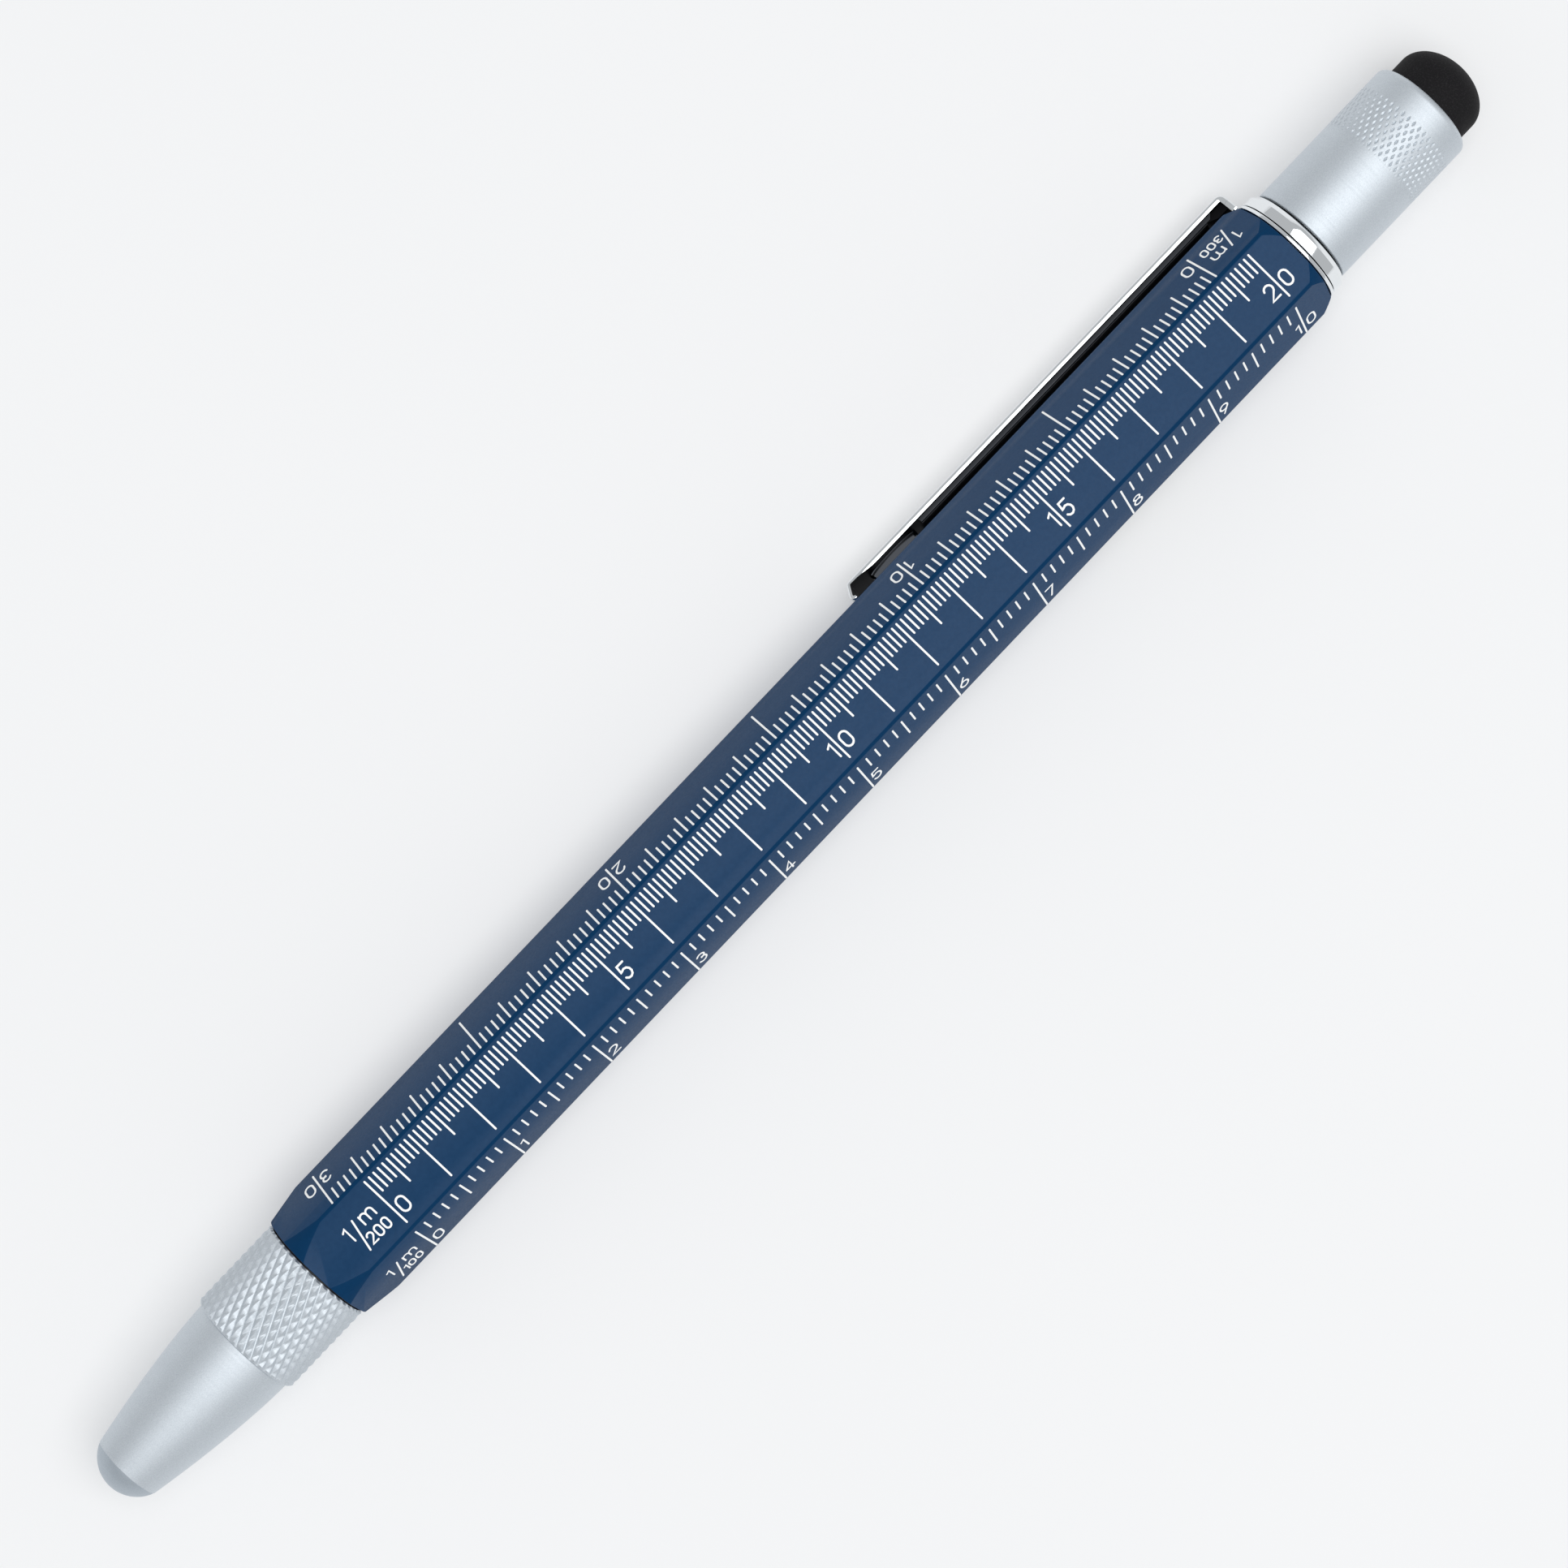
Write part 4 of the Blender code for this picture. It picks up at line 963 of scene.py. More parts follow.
@dataclass(frozen=True)
class Stroke:
    """One pen stroke of raised ink, with round ends unless it closes on itself.

    Attributes:
        line: the middle of the stroke.
        width: its width.
        thick: height of the ink above the flat.
        mitre: most that a corner is widened, so that the stroke keeps its width there.
        tip_turns: angles of a round end's points from the stroke's direction, in radians.
    """

    line: Sequence[Point]
    width: float
    thick: float
    mitre: float = 1.6
    tip_turns: tuple[float, ...] = (0.9, 0, -0.9)

    def add(self, shape: Shape, place: Matrix) -> None:
        """Adds the stroke's face to a mesh.

        Args:
            shape: the mesh, in millimetres in a flat's frame.
            place: from the line's plane to the flat's frame.
        """
        half = self.width / 2
        points = [Vector(point) for point in self.line]
        loop = len(points) > 3 and (points[0] - points[-1]).length < 0.001
        if loop:
            points.pop()
        rows: list[list[Vector]] = [[], []]
        for index, point in enumerate(points):
            before = after = None
            if index or loop:
                before = (point - points[index - 1]).normalized()
            if index + 1 < len(points) or loop:
                after = (points[(index + 1) % len(points)] - point).normalized()
            ahead = ((before or after) + (after or before)).normalized()
            stretch = min(self.mitre, 1 / max(0.4, ahead.dot(after or before)))
            side = Vector((-ahead.y, ahead.x)) * half * stretch
            rows[0].append(point + side)
            rows[1].append(point - side)
        for end, inner in () if loop else ((points[0], points[1]), (points[-1], points[-2])):
            way = math.atan2(*(end - inner).yx)
            rows.append([end + Vector((math.cos(way + turn), math.sin(way + turn))) * half
                         for turn in self.tip_turns])
        lefts, rights, *tips = [
            [shape.verts.new(place @ Vector((*spot, self.thick))) for spot in row] for row in rows]
        for index in range(len(points) if loop else len(points) - 1):
            after = (index + 1) % len(points)
            shape.faces.new((lefts[index], rights[index], rights[after], lefts[after]))
        if tips:
            shape.faces.new((rights[0], lefts[0], *reversed(tips[0])))
            shape.faces.new((lefts[-1], rights[-1], *reversed(tips[1])))


class Reading(Enum):
    """Which way up a scale is printed, as seen with the writing end on the left."""

    UPRIGHT = 1
    TURNED = -1


@dataclass
class Scale:
    """One printed scale: ticks from a base line, numerals beside the long ones and its ratio.

    Attributes:
        name: the piece's name.
        face_deg: the flat that it is printed on.
        zero: station of its zero tick.
        base: how far the base line is above the flat's middle, as the scale is read.
        spacing: distance between ticks.
        count: how many spaces it has.
        medium_every: how many spaces between medium ticks.
        long_every: how many spaces between long ticks.
        label_every: how many spaces between numerals.
        label_step: how much the numerals rise by.
        ratio: the digits under its slash, or nothing.
        reading: which way up it is.
        ink: height of the ink, and layer: how much higher the next stroke lies, so that none share a plane.
        digit_gap: from a tick to the numeral beside it.
        one_width: width of a leading 1, and one_shift: how much nearer a last 1 stands to its tick.
    """

    name: str
    face_deg: float
    zero: float
    base: float
    spacing: float
    count: int
    medium_every: int
    long_every: int
    label_every: int
    label_step: int
    ratio: str = ""
    reading: Reading = Reading.UPRIGHT
    tick_width: float = 0.165
    fine: float = 1.5
    medium: float = 2.5
    long: float = 4.55
    ink: float = 0.012
    layer: float = 0.0015
    digit_height: float = 1.32
    digit_drop: float = 2.68
    digit_gap: float = 0.45
    one_width: float = 0.34
    one_shift: float = 0.12
    lettering: Lettering = field(default_factory=Lettering)
    ratio_lettering: Lettering = field(default_factory=lambda: Lettering(0.57, 0.155, 0.3))

    def ticks(self) -> list[list[Point]]:
        """The ticks as lines down from the base line."""
        lines = []
        for index in range(self.count + 1):
            length = self.fine if index % self.medium_every else self.medium
            if index % self.long_every == 0:
                length = self.long
            along = index * self.spacing
            lines.append([(along, self.base), (along, self.base - length)])
        return lines

    def numerals(self) -> list[list[Point]]:
        """The numerals: single ones beside their tick, and two either side of it."""
        lines = []
        base = self.base - self.digit_drop - self.digit_height
        for index in range(0, self.count + 1, self.label_every):
            text = str(index // self.label_every * self.label_step)
            along = index * self.spacing
            width = self.one_width if text[0] == "1" else self.lettering.width
            shift = self.one_shift if text[-1] == "1" else 0.0
            lefts = [along - self.digit_gap - width * self.digit_height, along + self.digit_gap - shift]
            for sign, left in zip(text, lefts[-len(text):]):
                lines += self.lettering.written(sign, left, base, self.digit_height)
        return lines

    def heading(self) -> list[list[Point]]:
        """The ratio, as a stacked fraction of a metre left of the zero tick."""
        if not self.ratio:
            return []
        lines = []
        for text, left, drop, height in (
                ("1", -4.2, 2.66, 1.25), ("m", -2.34, 2.36, 1.14), (self.ratio, -3.0, 3.87, 0.92)):
            lines += self.ratio_lettering.written(text, left, self.base - drop, height)
        slash = [(-3.5, self.base - 4.0), (-2.87, self.base - 1.38)]
        return [lines[0], slash, *lines[1:]]

    def build(self) -> None:
        """Prints the scale on its flat."""
        turn = self.reading.value
        place = Matrix.Translation((self.zero, 0, FLAT_OFFSET)) @ Matrix.Diagonal((turn, turn, 1, 1))
        shape = bmesh.new()
        for line in self.ticks():
            Stroke(line, self.tick_width, self.ink).add(shape, place)
        for lines, lettering in ((self.numerals(), self.lettering), (self.heading(), self.ratio_lettering)):
            for order, line in enumerate(lines):
                Stroke(line, lettering.stroke, self.ink + self.layer * (order % 4)).add(shape, place)
        edges = [edge for edge in shape.edges if edge.is_boundary]
        walls = bmesh.ops.extrude_edge_only(shape, edges=edges)
        lowered = [item for item in walls["geom"] if isinstance(item, bmesh.types.BMVert)]
        bmesh.ops.translate(shape, vec=Vector((0, 0, -1.6 * self.ink)), verts=lowered)
        dress(settle(self.name, shape, face_frame(self.face_deg)), "barrel", INK)


@dataclass
class Barrel:
    """The lacquered hexagonal tube with its printed scales and the level's window opening."""

    length: float = 110.8
    across_flats: float = 9.9
    edge_round: float = 0.3
    bore_radius: float = 4.0
    mouth_radius: float = 5.15
    front_cone: float = 3.85
    rear_cone: float = 1.35
    lip: float = 0.09
    over: float = 1.0
    window: tuple[float, float, float] = (11.0, 3.0, 4.0)
    window_middle: float = 34.1
    window_face_deg: float = -120.0
    edge_turns: Point = (8.0, 52.0)

    def build(self) -> None:
        """Cones a hexagonal bar's ends, bores it, opens the window and prints the scales."""
        half = self.length / 2
        corner = self.across_flats / math.sqrt(3)
        over = corner + self.over
        rise = (corner - self.mouth_radius) / (over - self.mouth_radius)
        mouth = self.mouth_radius
        front = [(-half, 0, 0), (-half, mouth, self.lip), (-half + self.front_cone / rise, over, 0)]
        rear = [(half - self.rear_cone / rise, over, 0), (half, mouth, self.lip), (half, 0, 0)]
        bore = [(-half - 3, 0), (-half - 3, self.bore_radius), (half + 3, self.bore_radius), (half + 3, 0)]
        bar = bmesh.new()
        bmesh.ops.create_cone(
            bar, cap_ends=True, segments=6, radius1=corner, radius2=corner, depth=self.length + 4)
        bmesh.ops.transform(bar, matrix=Matrix.Rotation(math.radians(90), 4, "Y"), verts=bar.verts)
        shell = settle("barrel_shell", bar, face_frame(0))
        change(shell, "BEVEL", width=self.edge_round * MM, segments=5, limit_method="ANGLE",
               angle_limit=math.radians(45))
        carve(shell, turned("barrel_envelope", eased(front) + eased(rear), 240), "INTERSECT")
        carve(shell, turned("barrel_bore", bore, 96))
        middle = (self.window_middle, 0, FLAT_OFFSET)
        carve(shell, block("window_opening", self.window, middle, self.window_face_deg))
        self.paint_edge_shade(shell)
        # The second finish is painted shade on the rounded edges and the end facets
        dress(shell, "barrel", LACQUER, LACQUER_PAINTED_SHADE, instead_of="barrel")
        for scale in self.scales():
            scale.build()

    def paint_edge_shade(self, shell: Piece) -> None:
        """Gives the rounded edges along the barrel, and the corner facets where its ends cone down, the
        second material slot: the darker lacquer of painted shade.

        Args:
            shell: the finished tube.
        """
        for polygon in shell.data.polygons:
            normal = polygon.normal
            turn = math.degrees(math.atan2(normal.y, normal.z)) % 60
            outside = Vector((0, polygon.center.y, polygon.center.z - AXIS_HEIGHT * MM)).dot(normal) > 0
            # Painted shade: edge and end-facet faces take the darker lacquer
            if outside and abs(normal.x) < 0.7 and self.edge_turns[0] < turn < self.edge_turns[1]:
                polygon.material_index = 1

    def scales(self) -> list[Scale]:
        """The three reduction scales that show, and a plain centimetre rule underneath."""
        return [
            Scale("scale_1_200", 0, -47.55, 2.34, 0.5, 200, 5, 10, 50, 5, "200"),
            Scale("scale_1_300", 60, 49.54, 2.6, 2 / 3, 150, 5, 25, 50, 10, "300", Reading.TURNED),
            Scale("scale_1_100", -60, -47.74, 2.0, 1.0, 100, 5, 10, 10, 1, "100"),
            Scale("scale_centimetre", 180, 50.0, 2.3, 1.0, 100, 5, 10, 10, 1, "", Reading.TURNED),
        ]


@dataclass
class FrontCap:
    """The screw-off cap over the nib: a knurled skirt, a curved cone and a domed end."""

    mouth: float = -55.5
    knurl_length: float = 8.25
    knurl_radius: float = 5.0
    rim_chamfer: float = 0.24
    shadow_gap: float = 0.08
    seat_radius: float = 4.45
    cone_length: float = 13.33
    cone_rear: float = 4.58
    cone_tip: float = 2.97
    cone_curve: float = 1.55
    dome_height: float = 2.02
    bore_radius: float = 4.17
    thread_depth: float = 6.5
    wall: float = 0.6
    end_wall: float = 1.9
    liner_gap: float = 0.15
    liner_wall: float = 0.5
    knurl: Knurl = field(default_factory=lambda: Knurl(40, 1.59, 0.23, land=0.06, lead_bias=0.24))

    def cone(self, station: float) -> float:
        """Radius of the cone's skin at a station."""
        share = (self.mouth - self.knurl_length - station) / self.cone_length
        return self.cone_rear - (self.cone_rear - self.cone_tip) * max(0.0, share) ** self.cone_curve

    def build(self) -> None:
        """Builds the shell with its knurl, black ABS on its mouth's seat as painted shade for the shadow line
        against the barrel, and the liner inside it.
        """
        knurl_front = self.mouth - self.knurl_length
        cone_tip = knurl_front - self.cone_length
        dome_tip = cone_tip - self.dome_height
        ball = (self.cone_tip ** 2 + self.dome_height ** 2) / (2 * self.dome_height)
        spread = math.degrees(math.asin(self.cone_tip / ball))
        dome = arc((dome_tip + ball, 0), (ball, ball), 180, 180 - spread, 14)
        rim = self.knurl_radius - self.rim_chamfer
        cavity_end = dome_tip + self.end_wall
        thread_end = self.mouth - self.thread_depth
        groove = cone_tip - 0.02
        outline = [(dome_tip, 0.0), *dome[1:-1], (groove, self.cone_tip - 0.03)]
        outline += stepped(cone_tip, knurl_front - 0.06, self.cone, 0.7)
        outline += [(knurl_front, self.cone_rear - 0.05), (knurl_front, rim)]
        first = len(outline)
        outline += stepped(
            knurl_front + self.rim_chamfer, self.mouth - self.rim_chamfer, self.knurl_radius,
            self.knurl.pitch / self.knurl.fine)
        rough = slice(first, len(outline))
        seat = self.mouth - self.shadow_gap
        outline += [
            (seat, rim), (seat, self.seat_radius), (self.mouth, self.seat_radius),
            (self.mouth, self.bore_radius + 0.1), (self.mouth - 0.1, self.bore_radius),
            (thread_end, self.bore_radius), (thread_end, self.cone_rear - self.wall)]
        outline += stepped(knurl_front, cavity_end, lambda station: self.cone(station) - self.wall, 1.4)
        outline.append((cavity_end, 0.0))
        shell = turned(
            "front_cap_shell", outline, self.knurl.around * self.knurl.fine, self.knurl.height, rough,
            self.knurl.rises, 26.0, (groove, cone_tip))
        # Slot 2, black ABS on the seat and the mouth's faces, is painted shade for the shadow in the gap
        # against the barrel
        for polygon in shell.data.polygons:
            station = polygon.center.x / MM
            polygon.material_index = 1 if station < cone_tip + 0.01 else 2 * int(station > seat - 0.01)
        dress(shell, "front_cap", ALUMINIUM, FACED_ALUMINIUM, ABS, instead_of="front_cap")
        self.liner()

    def liner(self) -> None:
        """The plastic liner that keeps the nib from drying."""
        front, mouth = span("inner_cap")
        inset = self.wall + self.liner_gap
        floor = front + self.liner_wall
        outline = [(front, 0.0), *stepped(front, mouth, lambda station: self.cone(station) - inset, 1.2)]
        outline += stepped(mouth, floor, lambda station: self.cone(station) - inset - self.liner_wall, 1.2)
        outline.append((floor, 0.0))
        dress(turned("cap_liner", outline), "front_cap_slide", ABS, instead_of="inner_cap")


@dataclass
class WritingUnit:
    """What is under the front cap: the section that screws into the barrel, the feed and the nib."""

    thread_pitch: float = 0.75
    thread_depth: float = 0.22
    neck_radius: float = 3.95
    stub_radius: float = 3.3
    nose_front: float = -64.0
    feed_tip: float = -72.54
    feed_rear: float = -55.0
    feed_radius: float = 1.93
    fin_pitch: float = 0.68
    fin_thick: float = 0.34
    fin_depth: float = 0.48
    nib_outer: float = 2.3
    nib_thick: float = 0.2
    nib_tip: float = -76.2
    nib_rear: float = -56.5
    nib_drop: float = 1.2
    nib_tip_half: float = 0.3
    nib_wrap_deg: float = 78.0
    nib_rows: int = 60
    nib_columns: int = 36
    hole_station: float = -69.3
    hole_radius: float = 0.5
    slit: float = 0.07

    def build(self) -> None:
        """Builds the section, its ring, the collar, the feed and the nib."""
        self.section()
        seal = arc((-57.25, 3.75), (0.3, 0.3), 0, 345, 23)
        housing = band(self.nose_front, -54.15, 2.45, 2.75, 0.08)
        bush = band(-55.1, -47.1, 3.52, 3.85, 0.1)
        dress(turned("neck_ring", seal, 96), "section_slide", RUBBER, instead_of="neck_seal")
        dress(turned("nib_housing", housing), "section", ABS, instead_of="nib_collar")
        dress(turned("barrel_bush", bush, 96), "barrel", BRASS, instead_of="front_bush")
        self.feed()
        self.nib()

    def section(self) -> None:
        """The moulded section, threaded for the cap in front and for the barrel behind."""
        neck = Thread(self.thread_pitch, self.thread_depth, -61.3, -58.0)
        stub = Thread(self.thread_pitch, self.thread_depth, -55.2, -47.4)
        outline = eased([(self.nose_front, 2.9, 0), (self.nose_front, 3.4, 0.4), (-62.2, 3.4, 0.3),
                         (-61.8, 3.55, 0.2), (-61.4, self.neck_radius, 0.2)])
        first = len(outline)
        outline += stepped(-61.3, -58.0, self.neck_radius, 0.11)
        outline += [(-57.70, self.neck_radius), (-57.70, 3.35), (-56.8, 3.35), (-56.8, self.neck_radius),
                    (-55.5, self.neck_radius), (-55.5, self.stub_radius)]
        outline += stepped(-55.4, -47.2, self.stub_radius, 0.11)
        rough = slice(first, len(outline))
        outline += [(-47.0, 3.2), (-47.0, 1.5), (-42.7, 1.5), (-42.5, 1.4), (-42.5, 0.6), (-54.0, 0.6),
                    (-54.0, 2.9)]
        piece = turned(
            "nib_section_body", outline, 80,
            lambda station, angle: (neck if station < -56 else stub).height(station, angle), rough)
        dress(piece, "section", ABS, instead_of="nib_section")

    def forward(self, station: float) -> float:
        """Share of the way from the section's nose to the nib's tip at a station."""
        return max(0.0, (self.nose_front - station) / (self.nose_front - self.nib_tip))

    def lowered(self, station: float) -> float:
        """How far the nib has curved down at a station."""
        share = self.forward(station)
        return self.nib_drop * share * share

    def feed(self) -> None:
        """The feed under the nib, with its comb of thin fins."""
        outline: list[Point] = [(self.feed_tip, 0.0), (self.feed_tip + 0.1, 0.55)]
        station = self.feed_tip + 0.9
        while station < self.nose_front - 0.8:
            radius = self.feed_radius - self.lowered(station)
            root, after = radius - self.fin_depth, station + self.fin_thick
            outline += [(station, root), (station, radius), (after, radius), (after, root)]
            station += self.fin_pitch
        outline += [(self.nose_front, self.feed_radius), (self.feed_rear, self.feed_radius),
                    (self.feed_rear, 0.0)]
        dress(turned("ink_feed", outline), "section", ABS, instead_of="feed")

    def nib(self) -> None:
        """The pressed nib: bent round the feed, slit to a breather hole and drawn to a point."""
        shape = bmesh.new()
        full = self.nib_outer * math.radians(self.nib_wrap_deg)
        radius = self.nib_outer - self.nib_thick / 2
        lines = []
        for row in range(self.nib_rows + 1):
            station = self.nib_rear + (self.nib_tip - self.nib_rear) * row / self.nib_rows
            taper = 1 - self.forward(station) ** 2
            half = (self.nib_tip_half + (full - self.nib_tip_half) * taper) / self.nib_outer
            drop = self.lowered(station)
            angles = [half * (2 * column / self.nib_columns - 1) for column in range(self.nib_columns + 1)]
            spots = [(station, radius * math.sin(angle), radius * math.cos(angle) - drop) for angle in angles]
            lines.append([shape.verts.new(spot) for spot in spots])
        skin(shape, lines)
        nib = settle("steel_nib", shape, face_frame(0), 40.0)
        change(nib, "SOLIDIFY", thickness=self.nib_thick * MM * 0.96, offset=0.0)
        length = self.hole_station - self.nib_tip
        carve(nib, block("slit_cut", (length, self.slit, 3), (self.nib_tip + length / 2 - 0.2, 0, 2), 0))
        punch = bmesh.new()
        bmesh.ops.create_cone(
            punch, cap_ends=True, segments=40, radius1=self.hole_radius, radius2=self.hole_radius, depth=3)
        bmesh.ops.translate(punch, vec=Vector((self.hole_station, 0, 2)), verts=punch.verts)
        carve(nib, settle("hole_punch", punch, face_frame(0)))
        dress(nib, "section", NIB_STEEL, instead_of="nib")


@dataclass
class InkSupply:
    """The screw-piston converter behind the section, as turned and moulded rings."""

    mouth_front: float = -46.7
    mouth_rear: float = -42.2
    fit: float = 0.1
    outer: float = 3.1
    rod_radius: float = 0.85
    stem_radius: float = 1.45
    knob_gap: float = 0.22
    knob_radius: float = 2.8

    def build(self) -> None:
        """Builds its mouth, tube, piston, rod, collar and knob."""
        front, rear = span("converter_tube")
        collar_rear = span("converter_collar")[1]
        head = span("converter_piston")[0]
        rod_front, rod_rear = span("converter_rod")
        end = front - self.fit
        joint = rear + self.fit
        mouth = eased([
            (self.mouth_front, 1.65, 0), (self.mouth_front, self.outer, 0.15), (end - 1.4, self.outer, 0.08),
            (end - 1.4, 2.92, 0.05), (end - 1.0, 2.92, 0.05), (end - 1.0, self.outer, 0.08),
            (end, self.outer, 0.1), (end, 2.25, 0), (end + 2.0, 2.25, 0.05), (end + 2.0, 0.6, 0),
            (self.mouth_rear, 0.6, 0), (self.mouth_rear, 1.65, 0)])
        piston = eased([
            (head, 0, 0), (head, 2.25, 0.15), (head + 1, 2.25, 0.15), (head + 1, 1.85, 0.1),
            (head + 3, 1.85, 0.1), (head + 3, 2.25, 0.15), (head + 4, 2.25, 0.15), (head + 4, 1.0, 0),
            (head + 1.85, 1.0, 0), (head + 1.85, 0, 0)])
        collar = eased([
            (joint - 3.8, 1.67, 0), (joint - 3.8, 2.25, 0.05), (joint, 2.25, 0), (joint, self.outer, 0.1),
            (rear + 0.8, self.outer, 0.06), (rear + 0.8, 2.95, 0.05), (rear + 1.2, 2.95, 0.05),
            (rear + 1.2, self.outer, 0.06), (collar_rear, self.outer, 0.15), (collar_rear, 1.67, 0)])
        thread = Thread(0.5, 0.14, rod_front + 0.4, rod_rear - 0.4, starts=5)
        shaft = stepped(rod_front + 0.01, rod_rear - 0.01, self.rod_radius, 0.1)
        rod = [(rod_front, 0.0), *shaft, (rod_rear, 0.0)]
        tube = band(front, rear, 2.4, 3.0, 0.06)
        dress(turned("supply_mouth", mouth), "section", NIB_STEEL, instead_of="converter_mouth")
        dress(turned("supply_tube", tube), "section", ACRYLIC, instead_of="converter_tube")
        dress(turned("supply_piston", piston), "piston", RUBBER, instead_of="converter_piston")
        dress(turned("supply_rod", rod, 30, thread.height), "piston", NIB_STEEL, instead_of="converter_rod")
        dress(turned("supply_collar", collar), "section", NIB_STEEL, instead_of="converter_collar")
        self.knob(joint, collar_rear + self.knob_gap, span("converter_knob")[1])

    def knob(self, stem_front: float, front: float, rear: float) -> None:
        """The ribbed knob that turns the rod.

        Args:
            stem_front: where its stem starts, inside the collar.
            front: where its grip starts.
            rear: its end.
        """
        floor = rear - 1.0
        bore = [(floor, 0.0), (floor, 1.07), (stem_front, 1.07), (stem_front, self.stem_radius),
                (front, self.stem_radius)]
        grip = eased([(front, self.stem_radius, 0), (front, self.knob_radius, 0.2),
                      (rear, self.knob_radius, 0.5), (rear, 0, 0)], 5)[1:]
        ribs = Ribs(24, 0.16, front + 0.19, rear - 0.05)
        outline = [*bore, *grip[:-1], (rear, 1.6), grip[-1]]
        knob = turned("supply_knob", outline, 192, ribs.height, slice(len(bore), None))
        dress(knob, "knob", ABS, instead_of="converter_knob")


@dataclass
class RearCollar:
    """The chrome collar at the barrel's rear, the clip's washer and what sits in them."""

    front: float = 55.9
    band_end: float = 56.72
    rear: float = 57.14
    radius: float = 5.03
    sleeve_radius: float = 3.85
    neck_radius: float = 3.45
    bore_radius: float = 3.0
    washer_face_deg: float = 120.0

    def build(self) -> None:
        """Builds the collar, the washer and the rubber ring, and dresses the bit's socket."""
        sleeve_front, neck_end = span("rear_collar")
        outline = eased([
            (sleeve_front, self.bore_radius, 0), (sleeve_front, self.sleeve_radius, 0.15),
            (self.front, self.sleeve_radius, 0), (self.front, self.radius, 0.07),
            (self.band_end, self.radius, 0.03), (self.rear, 4.72, 0.12), (self.rear, self.neck_radius, 0)])
        outline += stepped(self.rear + 0.1, neck_end - 0.2, self.neck_radius, 0.08)
        outline += [(neck_end, self.neck_radius - 0.2), (neck_end, self.bore_radius)]
        thread = Thread(0.75, 0.2, self.rear + 1.1, neck_end - 0.1)
        collar = turned("chrome_collar", outline, 160, thread.height)
        dress(collar, "barrel", CHROME, instead_of="rear_collar")
        seal = arc((sum(span("collar_seal")) / 2, 3.77), (0.25, 0.25), 0, 345, 23)
        dress(turned("collar_ring", seal, 96), "barrel", RUBBER, instead_of="collar_seal")
        self.washer()
        refinish(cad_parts["bit_holder"], TOOL_STEEL)
        refinish(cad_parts["bit_magnet"], NIB_STEEL)

    def washer(self) -> None:
        """The clip's washer, with the tab that its arm bends up from."""
        ring = turned("clip_washer", band(55.5, 55.8, 4.0, 5.1, 0.08), 160)
        carve(ring, block("washer_tab", (0.28, 2.6, 1.2), (55.65, 0, 5.3), self.washer_face_deg), "UNION")
        carve(ring, Clip().leg(), "UNION")
        dress(ring, "barrel", CHROME, instead_of="clip_ring")


